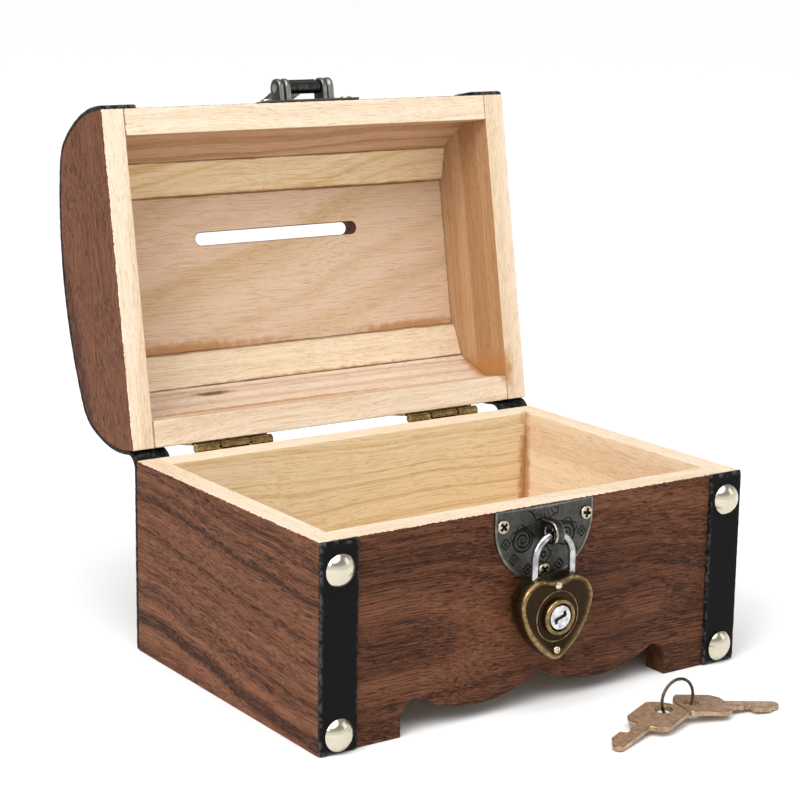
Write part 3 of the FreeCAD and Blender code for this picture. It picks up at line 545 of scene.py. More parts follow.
def arc_points(start, via, end, steps):
    """Points of a circular arc through three points in a plane, without its last point."""
    (ax, ay), (bx, by), (cx, cy) = start, via, end
    double = 2 * (ax * (by - cy) + bx * (cy - ay) + cx * (ay - by))
    a2, b2, c2 = ax * ax + ay * ay, bx * bx + by * by, cx * cx + cy * cy
    ux = (a2 * (by - cy) + b2 * (cy - ay) + c2 * (ay - by)) / double
    uy = (a2 * (cx - bx) + b2 * (ax - cx) + c2 * (bx - ax)) / double
    radius = math.hypot(ax - ux, ay - uy)
    first = math.atan2(ay - uy, ax - ux)
    sweep = (math.atan2(cy - uy, cx - ux) - first) % math.tau
    through = (math.atan2(by - uy, bx - ux) - first) % math.tau
    if through > sweep:
        sweep -= math.tau
    angles = [first + sweep * n / steps for n in range(steps)]
    return [(ux + radius * math.cos(t), uy + radius * math.sin(t)) for t in angles]


def resample(points, gap):
    """Evenly spaced points along an open line."""
    lengths = [0.0]
    for a, b in zip(points, points[1:]):
        lengths.append(lengths[-1] + math.dist(a, b))
    count = max(2, round(lengths[-1] / gap))
    result, segment = [], 0
    for number in range(count + 1):
        target = lengths[-1] * number / count
        while segment < len(points) - 2 and lengths[segment + 1] < target:
            segment += 1
        share = (target - lengths[segment]) / (lengths[segment + 1] - lengths[segment])
        a, b = points[segment], points[segment + 1]
        result.append(tuple(p + (q - p) * share for p, q in zip(a, b)))
    return result


# ---------------------------------------------------------------- lid outline


LID_SIDE, SIDE_BEND = (HALF_DEPTH, 6.0), (49.8, 15.6)
SHOULDER_LOW, SHOULDER_BEND, SHOULDER_HIGH = (45.4, 24.8), (42.3, 28.6), (37.5, 31.2)
CROWN = (0.0, 36.6)


def lid_line(front_height, back_height):
    """Outline of the closed lid in (y, z), from the front rim over the top to the back."""
    half = [LID_SIDE, SIDE_BEND, SHOULDER_LOW, SHOULDER_BEND, SHOULDER_HIGH]
    front = [(-y, RIM + z) for y, z in half]
    back = [(y, RIM + z) for y, z in reversed(half)]
    line = [(-HALF_DEPTH, RIM + front_height)]
    line += arc_points(*front[:3], 12) + arc_points(*front[2:], 8)
    line += arc_points(front[4], (CROWN[0], RIM + CROWN[1]), back[0], 40)
    line += arc_points(*back[:3], 8) + arc_points(*back[2:], 12)
    return line + [back[4], (HALF_DEPTH, RIM + back_height)]


# ---------------------------------------------------------------- CAD nodes that keep their shape


def dress(node, material, edge, segments, edge_material=None):
    """Give a CAD node its material and soften its sharp edges, which may have a material too."""
    piece = frame["nodes"][node]
    mesh = piece.data
    mesh.materials.clear()
    mesh.materials.append(material)
    if "custom_normal" in mesh.attributes:
        mesh.attributes.remove(mesh.attributes["custom_normal"])
    mesh.polygons.foreach_set("use_smooth", [True] * len(mesh.polygons))
    weld = piece.modifiers.new("weld", "WELD")
    weld.merge_threshold = MERGE_GAP * MM
    flat = piece.modifiers.new("flat", "DECIMATE")
    flat.decimate_type = "DISSOLVE"
    flat.angle_limit = math.radians(FLAT_ANGLE)
    bevel = piece.modifiers.new("bevel", "BEVEL")
    bevel.width = edge * MM
    bevel.segments = segments
    bevel.limit_method = "ANGLE"
    bevel.angle_limit = math.radians(BEVEL_ANGLE)
    if edge_material:
        mesh.materials.append(edge_material)
        bevel.material = 1
    weighted = piece.modifiers.new("normals", "WEIGHTED_NORMAL")
    weighted.keep_sharp = True


YELLOW, YELLOW_LINE = (0.79, 0.635, 0.42), (0.70, 0.53, 0.30)
CREAM, CREAM_LINE = (0.82, 0.69, 0.53), (0.72, 0.55, 0.37)
PINK, PINK_LINE = (0.70, 0.52, 0.38), (0.60, 0.43, 0.25)
# darker tan for the lid's right end: partly the wood's own tone, partly painted shade inside the
# open lid
TAN_AND_PAINTED_SHADE, TAN_LINE_AND_PAINTED_SHADE = (0.52, 0.33, 0.185), (0.42, 0.24, 0.12)
CORNER_GLUE = ((INNER_X, INNER_Y, 33.0), (3.2, 3.2, 34.0))
LID_GLUE = ((INNER_X, 41.0, RIM + 10.0), (4.0, 7.0, 22.0))
TOP_GLUE = (
    ((-45.0, 24.6, RIM + 29.7), (48.0, 3.4, 3.0)),
    ((50.0, 24.0, RIM + 29.7), (26.0, 2.2, 3.0)),
)
BOARDS = {
    "left_side_panel": dict(
        along="Y", seed=1.0, offset=(92.0, 22.0), tilt=-0.055, pale=CREAM, streak=CREAM_LINE,
        # painted light: 1.12 makes the stain lighter on the left side
        painted_light=1.12,
    ),
    "right_side_panel": dict(
        along="Y", seed=2.0, offset=(-100.0, 8.0), tilt=-0.04, pale=(0.79, 0.64, 0.47),
        streak=(0.74, 0.56, 0.39), glue=(CORNER_GLUE,),
    ),
    "front_panel": dict(
        along="X", seed=3.0, offset=(74.0, -24.0), tilt=0.06, gap=4.5, pale=CREAM,
        # painted shade: 0.89 makes the stain darker on the front
        streak=CREAM_LINE, painted_light=0.89,
    ),
    "back_panel": dict(
        along="X", seed=4.0, offset=(-44.0, 30.0), gap=1.6, pale=YELLOW, streak=YELLOW_LINE,
        glue=(CORNER_GLUE,),
    ),
    "bottom_board": dict(
        along="X", seed=5.0, offset=(0.0, 50.0), pale=YELLOW, streak=YELLOW_LINE
    ),
    "lid_left_end": dict(
        along="Y", seed=6.0, offset=(110.0, -70.0), tilt=0.05, gap=9.0, pale=CREAM,
        streak=CREAM_LINE,
    ),
    # its tan bare colours are partly painted shade inside the open lid
    "lid_right_end": dict(
        along="Y", seed=7.0, offset=(-92.0, -40.0), tilt=0.04, gap=5.0, pale=TAN_AND_PAINTED_SHADE,
        streak=TAN_LINE_AND_PAINTED_SHADE, glue=(LID_GLUE,),
    ),
    # darker brown bare wood, partly the rail's own tone and partly painted shade on its inner face,
    # which faces down in the open lid
    "lid_front_rail": dict(
        along="X", seed=8.0, offset=(60.0, -60.0), tilt=0.03, gap=3.0, pale=(0.56, 0.37, 0.24),
        streak=(0.44, 0.26, 0.15),
    ),
    "lid_front_shoulder_slat": dict(
        along="X", seed=10.0, offset=(70.0, -40.0), slant=0.12, pale=(0.85, 0.68, 0.44),
        streak=(0.74, 0.54, 0.30), glue=(((0.0, -25.0, RIM + 29.0), (90.0, 0.9, 2.0)),),
    ),
    "lid_top_slat": dict(
        along="X", seed=12.0, offset=(80.0, -50.0), slant=0.22, gap=17.0, pale=PINK,
        streak=PINK_LINE, glue=TOP_GLUE,
    ),
    "lid_back_shoulder_slat": dict(
        along="X", seed=11.0, offset=(-60.0, -40.0), pale=(0.80, 0.67, 0.50),
        streak=(0.72, 0.56, 0.37), glue=(((10.0, 36.3, RIM + 24.6), (60.0, 1.6, 1.6)),),
    ),
    "lid_back_rail": dict(
        along="X", seed=9.0, offset=(-60.0, -60.0), tilt=0.04, pale=(0.72, 0.58, 0.46),
        streak=(0.58, 0.42, 0.30), knots=(((-34.0, 38.4, RIM + 21.5), (8.0, 1.5, 1.5)),),
        glue=(((-20.0, 43.3, RIM + 12.4), (60.0, 1.2, 1.2)), LID_GLUE),
    ),
}

for node, settings in BOARDS.items():
    dress(node, wood(node, **settings), 0.35, 3)

# material, material of the worn edges, width of the edges
CAD_METALS = {
    "latch_staple": ("gunmetal_body", "gunmetal_edge", 0.45),
    "hasp": ("gunmetal_body", "gunmetal_edge", 0.35),
    "hasp_pin": ("gunmetal_edge", "gunmetal_edge", 0.2),
    "padlock_shackle": ("shackle_steel", "shackle_steel", 0.2),
    "padlock_plug": ("plug_chrome", "plug_chrome", 0.25),
    "bolt_spring": ("shackle_steel", "shackle_steel", 0.1),
    "padlock_bolt": ("key_bronze", "key_edge", 0.15),
    "key_ring": ("ring_bronze", "ring_bronze", 0.08),
    "key_a": ("key_bronze", "key_edge", 0.22),
    "key_b": ("key_bronze", "key_edge", 0.22),
}
for node in frame["nodes"]:
    if node.startswith("hinge_") and not node.endswith("screws"):
        dress(node, LOOKS["antique_brass_hinge"], 0.2, 2, LOOKS["hinge_edge"])
for node, (body, rim, width) in CAD_METALS.items():
    dress(node, LOOKS[body], width, 2, LOOKS[rim])


# ---------------------------------------------------------------- straps


STRAP_LOW, STRAP_HIGH = span("front_strap_left")
STRAP_WIDTH = STRAP_HIGH.x - STRAP_LOW.x
STRAP_THICK = STRAP_HIGH.y - STRAP_LOW.y
STRAP_MIDDLE_X = HALF_LENGTH - STRAP_WIDTH / 2
FLEX_RADIUS, BEND_STEPS = 4.6, 10
LID_FRONT_END, LID_BACK_END, STRAP_FOOT, UNEVEN = 0.7, 4.6, 0.4, 0.05
dice = random.Random(7)


def strap_rings(line, centre_x):
    """Rounded band over a line of (y, z) points, with its wear; the line's left side is outside."""
    half, thick, soft = STRAP_WIDTH / 2, STRAP_THICK, 0.32
    across = [-half + soft, -half + 0.9, -half + 2.0, 0.0, half - 2.0, half - 0.9, half - soft]
    section = [(-half, 0.0, 0.4), (-half, thick - soft, 0.7)]
    section += [(a, thick, 0.45 if abs(a) > half - 0.5 else 0.0) for a in across]
    section += [(half, thick - soft, 0.7), (half, 0.0, 0.4)]
    rings, wear = [], []
    last = len(line) - 1
    for number, (y, z) in enumerate(line):
        before, after = line[max(number - 1, 0)], line[min(number + 1, last)]
        along = Vector((0, after[0] - before[0], after[1] - before[1])).normalized()
        out = Vector((0, -along.z, along.y))
        end = min(number, last - number)
        pinch = 0.75 if end == 0 else 1.0
        sway = dice.uniform(-UNEVEN, UNEVEN)
        lift = dice.uniform(0.0, UNEVEN)
        ring, worn = [], []
        for a, o, w in section:
            rise = o * pinch + (lift if o > 0.5 else 0.0)
            x = centre_x + a * (0.99 if end == 0 else 1.0) + sway
            ring.append(Vector((x, y, z)) + out * rise)
            worn.append(1.0 if end == 0 else w)
        rings.append(ring)
        wear.append(worn)
    return rings, wear


def long_strap(side, sign):
    """One strap from the lid's front rim over the dome, round the hinge gap and down the back."""
    top = span("back_strap_" + side)[1].z
    inner = FLEX_RADIUS + STRAP_THICK / 2
    centre_y = HALF_DEPTH + inner
    lid = lid_line(LID_FRONT_END, LID_BACK_END)
    line = [tuple((OPEN @ Vector((0, y, z))).yz) for y, z in lid]
    for number in range(1, BEND_STEPS):
        angle = math.pi - OPEN_ANGLE * (1 - number / BEND_STEPS)
        line.append((centre_y + inner * math.cos(angle), top + inner * math.sin(angle)))
    line = resample(line + [(HALF_DEPTH, top), (HALF_DEPTH, STRAP_FOOT)], 1.1)
    strap = Shape()
    strap.loft(*strap_rings(line, sign * STRAP_MIDDLE_X))
    item = strap.make("strap_over_lid_" + side, None, "black_leather")
    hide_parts("lid_strap_" + side, "strap_flex_" + side, "back_strap_" + side)
    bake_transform(item)


def front_strap(side, sign):
    line = resample([(-HALF_DEPTH, STRAP_LOW.z), (-HALF_DEPTH, RIM - 0.05)], 1.5)
    strap = Shape()
    strap.loft(*strap_rings(line, sign * STRAP_MIDDLE_X))
    strap.make("strap_front_" + side, "base", "black_leather", ["front_strap_" + side])


# ---------------------------------------------------------------- dome nails and screws


NAIL_RADIUS, LID_NAIL_RISE, NAIL_LEAN = 4.6, 16.0, 0.05
PLATE_THICK = 0.8
PLATE_FACE = -HALF_DEPTH - PLATE_THICK
SCREW_X, SCREW_RISE, SCREW_TIP = 14.9, 4.5, 19.2
PLATE_SCREW, HINGE_SCREW = (2.0, 0.75), (1.6, 0.6)  # radius, height
HINGE_X, HINGE_LEAF, HINGE_SCREW_X, HINGE_SCREW_RISE = 40.0, 1.0, 9.0, 6.9


def dome_nail(shape, place, axis):
    """Domed head with a rolled edge and a short stub behind it."""
    half, rise, lip = NAIL_RADIUS, 2.5, 0.35
    radius = (half**2 + (rise - lip) ** 2) / (2 * (rise - lip))
    edge = math.asin(half / radius)
    profile = [(0.8, -1.2, 0.0), (0.8, 0.0, 0.0), (half - 0.15, 0.0, 0.0), (half, 0.12, 0.3)]
    profile.append((half, lip - 0.08, 1.0))
    for step in range(13):
        angle = edge * (1 - step / 12.3)  # the last ring stays open a little, and is capped
        profile.append((radius * math.sin(angle), rise - radius + radius * math.cos(angle), 0.74))
    shape.lathe(profile, place, axis, 64)


def cross_screw(shape, place, axis, radius, height, turn):
    """Pan head with a cross recess, on a short length of shank."""
    direction = Vector(axis).normalized()
    tilt = Vector((0, 0, 1)).rotation_difference(direction)
    arm, reach, depth = 0.21 * radius, 0.70 * radius, 0.7 * height
    segments, rows = 64, 22
    profile = [(0.45 * radius, -1.0), (0.45 * radius, 0.0), (radius * 0.97, 0.0)]
    profile += [(radius, 0.1 * height), (radius * 0.99, 0.45 * height)]
    profile += [(radius * 0.93, 0.72 * height)]
    shoulder = len(profile)
    for n in range(rows):
        profile.append((radius * (0.88 - 0.04 * n), height * (0.80 + 0.2 * n / (rows - 1))))
    rings, wear = [], []
    for number, (r, level) in enumerate(profile):
        ring, worn = [], []
        for step in range(segments):
            angle = math.tau * step / segments
            x, y = r * math.cos(angle), r * math.sin(angle)
            u = abs(x * math.cos(turn) + y * math.sin(turn))
            v = abs(y * math.cos(turn) - x * math.sin(turn))
            inside = number >= shoulder and min(u, v) < arm and max(u, v) < reach
            h = level - depth if inside else level
            ring.append(Vector(place) + tilt @ Vector((x, y, h)))
            worn.append(0.0 if inside else 0.8)
        rings.append(ring)
        wear.append(worn)
    shape.loft(rings, wear)


def nail_lean():
    return dice.uniform(-NAIL_LEAN, NAIL_LEAN)


def nails():
    base, lid = Shape(), Shape()
    low, high = span("base_studs")
    front = -HALF_DEPTH - STRAP_THICK
    heights = (low.z + NAIL_RADIUS, high.z - NAIL_RADIUS)
    place, (_, out_y, out_z) = lid_face(LID_NAIL_RISE, STRAP_THICK)
    for x in (-STRAP_MIDDLE_X, STRAP_MIDDLE_X):
        for z in heights:
            dome_nail(base, (x, front, z), (nail_lean(), -1, nail_lean()))
        dome_nail(base, (x, -front, heights[0]), (nail_lean(), 1, 0.02))
        dome_nail(lid, (x, place.y, place.z), (0.03, out_y, out_z))
    base.make("dome_nails_base", "base", "nickel_dome", ["base_studs"])
    lid.make("dome_nails_lid", "lid", "nickel_dome", ["lid_studs"], on_lid=True)


def lid_face(rise, offset):
    """Point outside the closed lid's front at a height above the rim, and the outward direction."""
    line = lid_line(0.3, 0.3)
    for (y0, z0), (y1, z1) in zip(line, line[1:]):
        if z0 <= RIM + rise <= z1:
            share = (RIM + rise - z0) / (z1 - z0)
            out = Vector((0, -(z1 - z0), y1 - y0)).normalized()
            return Vector((0, y0 + (y1 - y0) * share, RIM + rise)) + out * offset, out
    raise ValueError("no such height on the lid's front")


def screws():
    base, lid = Shape(), Shape()
    forward, size = (0, -1, 0), PLATE_SCREW
    for x in (-SCREW_X, SCREW_X):
        for shape, z in ((base, RIM - SCREW_RISE), (lid, RIM + SCREW_RISE)):
            cross_screw(shape, (x, PLATE_FACE, z), forward, *size, dice.uniform(0, 1.5))
    cross_screw(base, (0, PLATE_FACE, RIM - SCREW_TIP), forward, *size, 0.7)
    cross_screw(lid, *lid_face(SCREW_TIP, PLATE_THICK), *size, 0.2)
    base.make("cross_screws_base_plate", "base", "brass_screw", ["base_plate_screws"])
    lid.make("cross_screws_lid_plate", "lid", "brass_screw", ["lid_plate_screws"], on_lid=True)
    base, lid = Shape(), Shape()
    leaf, brass = HALF_DEPTH + HINGE_LEAF, "antique_brass_hinge"
    for centre in (-HINGE_X, HINGE_X):
        for x in (centre - HINGE_SCREW_X, centre + HINGE_SCREW_X):
            for shape, rise in ((base, -HINGE_SCREW_RISE), (lid, HINGE_SCREW_RISE)):
                place = (x, leaf, HINGE.z + rise)
                cross_screw(shape, place, (0, 1, 0), *HINGE_SCREW, dice.uniform(0, 1.5))
    base.make("cross_screws_base_hinge", "base", brass, ["hinge_base_screws"])
    lid.make("cross_screws_lid_hinge", "lid", brass, ["hinge_lid_screws"], on_lid=True)


# ---------------------------------------------------------------- engraved half-round plates


PLATE_RADIUS, PLATE_STRAIGHT, PLATE_EYE = 17.5, 4.5, 8.0


def plate_reach(angle):
    """Distance from the plate's eye (0, PLATE_EYE) to its outline; v runs away from the rim."""
    du, dv = math.cos(angle), math.sin(angle)
    options = []
    if dv < 0:
        options.append(-PLATE_EYE / dv)
    if abs(du) > 1e-9:
        side = PLATE_RADIUS / abs(du)
        if PLATE_EYE + side * dv <= PLATE_STRAIGHT:
            options.append(side)
    drop = PLATE_EYE - PLATE_STRAIGHT
    along = drop * dv
    hit = -along + math.sqrt(along**2 - drop**2 + PLATE_RADIUS**2)
    if PLATE_EYE + hit * dv >= PLATE_STRAIGHT:
        options.append(hit)
    return min(options)


STROKE = 0.34
# middles of the ornaments, as (u, v) on the plate
SCROLL, DIAMONDS = (7.6, 9.3), ((13.6, 9.6), (10.6, 14.6), (5.6, 18.2))
FLOWER_V, FAN_V = 14.6, -1.0


def polar(x, y):
    return math.hypot(x, y), math.atan2(y, x)


def stroke(value, wanted, width=STROKE):
    """1 on a line round a wanted value, falling to 0 beside it."""
    return max(0.0, 1.0 - abs(value - wanted) / width)


def engraving(u, v):
    """Depth from 0 to 1 of plain scrollwork cut into a plate: scrolls, diamonds, flower, fan."""
    cuts = [0.0]
    radius, angle = polar(abs(u) - SCROLL[0], v - SCROLL[1])
    if radius < 4.6:
        cuts.append(stroke(radius, 3.4))
        if 0.3 < radius < 3.2:
            turn = (radius / 1.25 - angle / math.tau) % 1.0
            cuts.append(stroke(turn, 0.5, STROKE / 1.1))
        if radius > 3.4 and v < SCROLL[1]:
            cuts.append(stroke(radius + 0.5 * math.cos(7 * angle), 4.2))
    for x, y in DIAMONDS:
        radius, angle = polar(abs(u) - x, v - y)
        if radius < 2.0:
            cuts.append(stroke(radius, 1.25 + 0.22 * math.cos(4 * angle)))
            cuts.append(stroke(radius, 0.3, 0.3))
    radius, angle = polar(u, v - FLOWER_V)
    if radius < 3.2:
        cuts.append(stroke(radius, 1.9 + 0.8 * abs(math.cos(2.5 * angle))))
        cuts.append(stroke(radius, 0.8))
    radius, angle = polar(u, v - FAN_V)
    if 2.4 < radius < 6.4 and 0.35 < angle < math.pi - 0.35:
        petals = 6.0 - 0.8 * abs(math.sin(4.5 * angle))
        cuts.append(stroke(radius, petals))
        if radius < petals - 0.4:
            cuts.append(stroke((angle * 9 / math.pi) % 1.0, 0.5, 0.11))
    return max(cuts)


def relief_plate(shape, placed):
    """Engraved plate with a thin raised border; placed(u, v, w) puts a point at a height w."""
    spokes, steps = 440, 86
    border, slope, sunk, groove = 0.9, 0.15, 0.12, 0.22
    corners = [math.atan2(-PLATE_EYE, s * PLATE_RADIUS) for s in (-1, 1)]
    angles = sorted([math.tau * n / spokes - math.pi for n in range(spokes)] + corners)
    profile = [(0.0, 0.0), (0.0, PLATE_THICK - 0.2), (0.16, PLATE_THICK), (border, PLATE_THICK)]
    profile += [(border + slope, PLATE_THICK - sunk)]
    rings, wear = [], [[worn] * len(angles) for worn in (0.1, 0.4, 0.75, 0.35, 0.12)]
    for inset, w in profile:
        ring = []
        for angle in angles:
            r = plate_reach(angle) - inset
            ring.append(placed(r * math.cos(angle), PLATE_EYE + r * math.sin(angle), w))
        rings.append(ring)
    for step in range(1, steps):
        ring, worn = [], []
        for angle in angles:
            r = (plate_reach(angle) - border - slope) * (1 - step / steps)
            u, v = r * math.cos(angle), PLATE_EYE + r * math.sin(angle)
            cut = engraving(u, v)
            ring.append(placed(u, v, PLATE_THICK - sunk - groove * cut))
            worn.append(0.27 * max(0.0, 1 - 1.3 * cut))
        rings.append(ring)
        wear.append(worn)
    shape.loft(rings, wear)


def base_plate():
    plate = Shape()
    edge = span("latch_base_plate")[1].z
    relief_plate(plate, lambda u, v, w: Vector((u, -HALF_DEPTH - w, edge - v)))
    plate.make("engraved_base_plate", "base", "gunmetal_plate", ["latch_base_plate"])


def lid_plate():
    """Engraved plate bent over the lid's front, with the two ribbed ears that carry the hasp."""
    gap = 0.25
    path = resample(lid_line(0.5, 0.5), gap)

    def placed(u, v, w):
        index = min(max(v / gap, 0.0), len(path) - 2.001)
        first = int(index)
        share = index - first
        (y0, z0), (y1, z1) = path[first], path[first + 1]
        out = Vector((0, -(z1 - z0), y1 - y0)).normalized()
        return Vector((u, y0 + (y1 - y0) * share, z0 + (z1 - z0) * share)) + out * w

    plate = Shape()
    relief_plate(plate, placed)
    for sign in (-1, 1):
        ribbed_ear(plate, sign)
    plate.make("engraved_lid_plate", "lid", "gunmetal_plate", ["latch_lid_plate"], on_lid=True)


HASP_PIN = Vector((0, PLATE_FACE - 4.2, RIM + 6.5))


def ribbed_ear(shape, sign):
    """Rounded ear with two ribs round it, from the plate out past the pin, and the pin's head."""
    start, width, radius = 6.0, 4.2, 3.0
    stations = [(0.0, 0.45), (0.12, 0.12), (0.35, 0.0), (1.25, 0.0), (1.5, 0.18), (1.7, 0.55)]
    stations += [(width - x, inset) for x, inset in reversed(stations[:-1])]
    stations.insert(6, (width / 2, 0.62))
    root, halfway = PLATE_FACE + 0.3, (HASP_PIN.y + PLATE_FACE) / 2
    rings, wear = [], []
    for x, inset in stations:
        r = radius - inset
        ring = [Vector((0, y, HASP_PIN.z + r)) for y in (root, halfway)]
        for step in range(25):
            angle = math.pi / 2 + math.pi * step / 24
            ring.append(HASP_PIN + Vector((0, r * math.cos(angle), r * math.sin(angle))))
        ring += [Vector((0, y, HASP_PIN.z - r)) for y in (halfway, root)]
        rings.append([p + Vector((sign * (start + x), 0, 0)) for p in ring])
        wear.append([1.0 if inset < 0.3 else 0.15] * len(ring))
    shape.loft(rings, wear)
    head = [(0.02, 0.0, 0.2), (1.3, 0.0, 0.3), (1.5, 0.15, 1.0), (1.5, 0.4, 0.6)]
    head += [(0.9, 0.65, 0.9), (0.02, 0.75, 0.9)]
    place = HASP_PIN + Vector((sign * (start + width - 0.3), 0, 0))
    shape.lathe(head, place, (sign, 0, 0), 32)


# ---------------------------------------------------------------- padlock


RIVET_DROPS = (2.6, 21.6)
LOCK_LOW, LOCK_HIGH = span("padlock_front_shell")
HANG_Y = LOCK_HIGH.y
PLUG_CENTRE = sum(corner.z for corner in span("padlock_plug")) / 2


def heart_line():
    """Heart outline in (x, z), of arcs through stops from the notch round to the point."""
    top, tip, width = LOCK_HIGH.z, LOCK_LOW.z, LOCK_HIGH.x
    stops = [(0, top - 1.0), (2.8, top - 0.75), (5.6, top - 0.05), (width - 1.9, top - 2.7)]
    stops += [(width, top - 7.0), (width - 2.7, top - 15.4), (2.6, tip + 1.0)]
    stops += [(1.3, tip + 0.25), (0, tip)]
    right = []
    for first in range(0, 8, 2):
        right += arc_points(*stops[first : first + 3], 14)
    right.append(stops[-1])
    return right + [(-x, z) for x, z in reversed(right[1:-1])]


def lock_shell(name, towards, profile, hole):
    """Stamped half of the case, its face running in to a hole, or closed where that is tiny.

    The profile is (inset, height, wear) from the edge inwards.
    """
    stations = [(inset, height, 0.0, worn) for inset, height, worn in profile]
    inset, height, worn = profile[-1]
    steps, crown = 14, 0.25
    for step in range(1, steps + 1):
        share = step / steps
        rise = crown * math.sin(share * math.pi / 2)
        stations.append((inset, height + rise, share, worn))
    pierced = hole > 1
    if pierced:
        stations.append((inset, 0.1, 1.0, 0.0))
    centre, line, rings = Vector((0, 0, PLUG_CENTRE)), heart_line(), []
    for inset, height, squeeze, _ in stations:
        lift = Vector((0, HANG_Y + towards * height, 0))
        ring = []
        for x, z in line:
            edge = Vector((x, 0, z)) - centre
            r = edge.length - inset
            r += (hole - r) * squeeze
            ring.append(centre + edge.normalized() * r + lift)
        rings.append(ring)
    shell = Shape()
    shell.loft(rings, [[worn] * len(line) for *_, worn in stations], closed=pierced)
    if pierced:
        groove = [(7.1, 2.2, 0.1), (7.15, 2.62, 0.6), (7.35, 2.78, 1.0)]
        groove += [(7.55, 2.62, 0.6), (7.6, 2.2, 0.1)]
        shell.lathe(groove, (0, HANG_Y, PLUG_CENTRE), (0, towards, 0), 72, closed=True)
    shell.make(name + "_stamped", "padlock", "antique_bronze", [name])


def padlock():
    thick = HANG_Y - LOCK_LOW.y
    bead = [(0.0, 0.02, 0.2), (0.0, thick - 1.5, 0.35), (0.12, thick - 0.8, 0.7)]
    bead += [(0.45, thick - 0.25, 1.0), (0.95, thick, 1.0), (1.45, thick - 0.2, 0.5)]
    bead += [(1.9, thick - 0.55, 0.12), (2.6, thick - 0.8, 0.03)]
    lock_shell("padlock_front_shell", -1, bead, 3.95)
    lock_shell("padlock_back_shell", 1, bead, 0.05)
    collar = [(5.3, 2.3, 0.0), (5.32, 3.4, 0.6), (5.25, 3.9, 1.0), (4.95, 4.28, 1.0)]
    collar += [(4.5, 4.4, 0.9), (4.1, 4.25, 0.6), (3.85, 3.7, 0.1), (3.68, 3.4, 0.0)]
    collar += [(3.68, 2.3, 0.0)]
    ring = Shape()
    ring.lathe(collar, (0, HANG_Y, PLUG_CENTRE), (0, -1, 0), 72, closed=True)
    ring.make("padlock_collar_turned", "padlock", "antique_bronze", ["padlock_collar"])
    head = [(0.5, 0.5, 0.0), (0.5, 2.3, 0.0), (1.2, 2.3, 0.4), (1.2, 2.75, 1.0)]
    for step in range(1, 8):
        angle = step * math.pi / 16
        head.append((1.2 * math.cos(angle), 2.75 + 0.7 * math.sin(angle), 1.0))
    rivets = Shape()
    for drop in RIVET_DROPS:
        for towards in (-1, 1):
            rivets.lathe(head, (0, HANG_Y, LOCK_HIGH.z - drop), (0, towards, 0), 32)
    rivets.make("padlock_rivets_domed", "padlock", "brass_screw", ["padlock_rivets"])


for side, sign in (("left", -1), ("right", 1)):
    long_strap(side, sign)
    front_strap(side, sign)
nails()
screws()
base_plate()
lid_plate()
padlock()


# ---------------------------------------------------------------- camera, floor and light


CAMERA_PLACE = Vector((-361.9, -502.4, 216.6)) * MM
CAMERA_AZIMUTH, CAMERA_ELEVATION, CAMERA_ROLL = (math.radians(a) for a in (-34.685, 12.448, 0.853))
CAMERA_LENS = 95.2
BOX_MIDDLE = Vector((0.0, 0.0, 0.08))
SKY = ((0.0, 1.0), (0.18, 1.0), (0.42, 0.38))  # height of the direction, brightness
PAPER, PAPER_SPECKLE = (0.93, 0.93, 0.925), (0.96, 0.96, 0.955)


def aim(item, direction, roll=0.0):
    """Point a camera or a light, which look along their own -Z."""
    item.rotation_mode = "QUATERNION"
    turn = direction.to_track_quat("-Z", "Y")
    item.rotation_quaternion = turn @ Quaternion((0, 0, 1), roll)


def camera():
    data = bpy.data.cameras.new("camera")
    data.lens = CAMERA_LENS
    data.sensor_width = 36.0
    data.clip_start, data.clip_end = 0.01, 20.0
    level, rise = math.cos(CAMERA_ELEVATION), math.sin(CAMERA_ELEVATION)
    back = Vector((math.sin(CAMERA_AZIMUTH) * level, -math.cos(CAMERA_AZIMUTH) * level, rise))
    item = add_object("camera", data)
    item.location = CAMERA_PLACE
    aim(item, -back, CAMERA_ROLL)
    bpy.context.scene.camera = item


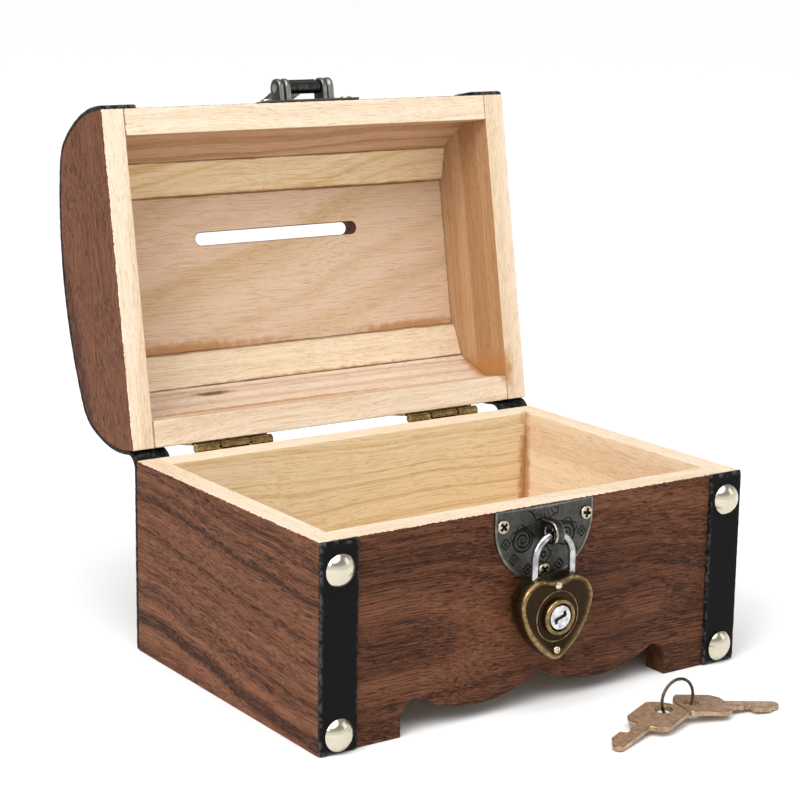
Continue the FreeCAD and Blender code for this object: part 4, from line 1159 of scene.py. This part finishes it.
def floor():
    mesh = bpy.data.meshes.new("floor")
    reach = 6.0
    corners = [(-reach, -reach, 0), (reach, -reach, 0), (reach, reach, 0), (-reach, reach, 0)]
    mesh.from_pydata(corners, [], [(0, 1, 2, 3)])
    item = add_object("floor", mesh)
    graph = Graph("floor_paper")
    colour = graph.mix(graph.noise(graph.place, 0.02, 3.0), PAPER, PAPER_SPECKLE)
    paper = graph.finish(Base_Color=colour, Roughness=0.9, Specular_IOR_Level=0.1)
    item.data.materials.append(paper)
    item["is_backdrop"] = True


def light(name, place, size, power):
    """Square softbox aimed at the middle of the box."""
    data = bpy.data.lights.new(name, "AREA")
    data.size = size
    data.energy = power
    item = add_object(name, data)
    item.location = place
    aim(item, BOX_MIDDLE - Vector(place))


def wash(name, towards, spread, strength):
    """Soft even light from one side of the sky, which also reaches the far floor."""
    data = bpy.data.lights.new(name, "SUN")
    data.angle = math.radians(spread)
    data.energy = strength
    aim(add_object(name, data), -Vector(towards))


def world():
    """White below and near the horizon, where the backdrop would be, and greyer overhead."""
    item = bpy.data.worlds.new("studio")
    item.use_nodes = True
    tree = item.node_tree
    coords = tree.nodes.new("ShaderNodeTexCoord")
    parts = tree.nodes.new("ShaderNodeSeparateXYZ")
    ramp = tree.nodes.new("ShaderNodeValToRGB")
    tree.links.new(coords.outputs["Generated"], parts.inputs[0])
    tree.links.new(parts.outputs["Z"], ramp.inputs[0])
    elements = ramp.color_ramp.elements
    elements.new(0.5)
    for element, (place, level) in zip(elements, SKY):
        element.position = place
        element.color = (level, level, level, 1.0)
    tree.links.new(ramp.outputs[0], tree.nodes["Background"].inputs["Color"])
    tree.nodes["Background"].inputs["Strength"].default_value = 1.0
    bpy.context.scene.world = item


camera()
floor()
world()
light("key_softbox", (-1.4, -0.6, 1.2), 1.0, 18.0)
light("fill_softbox", (1.3, -1.0, 0.9), 0.8, 2.0)
wash("overhead_wash", (-0.25, -0.35, 1.0), 60.0, 2.1)
bpy.context.scene.view_settings.view_transform = "Standard"

boxes = {"cad": cad_box, "visual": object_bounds()}
{name: [list(low), list(high)] for name, (low, high) in boxes.items()}
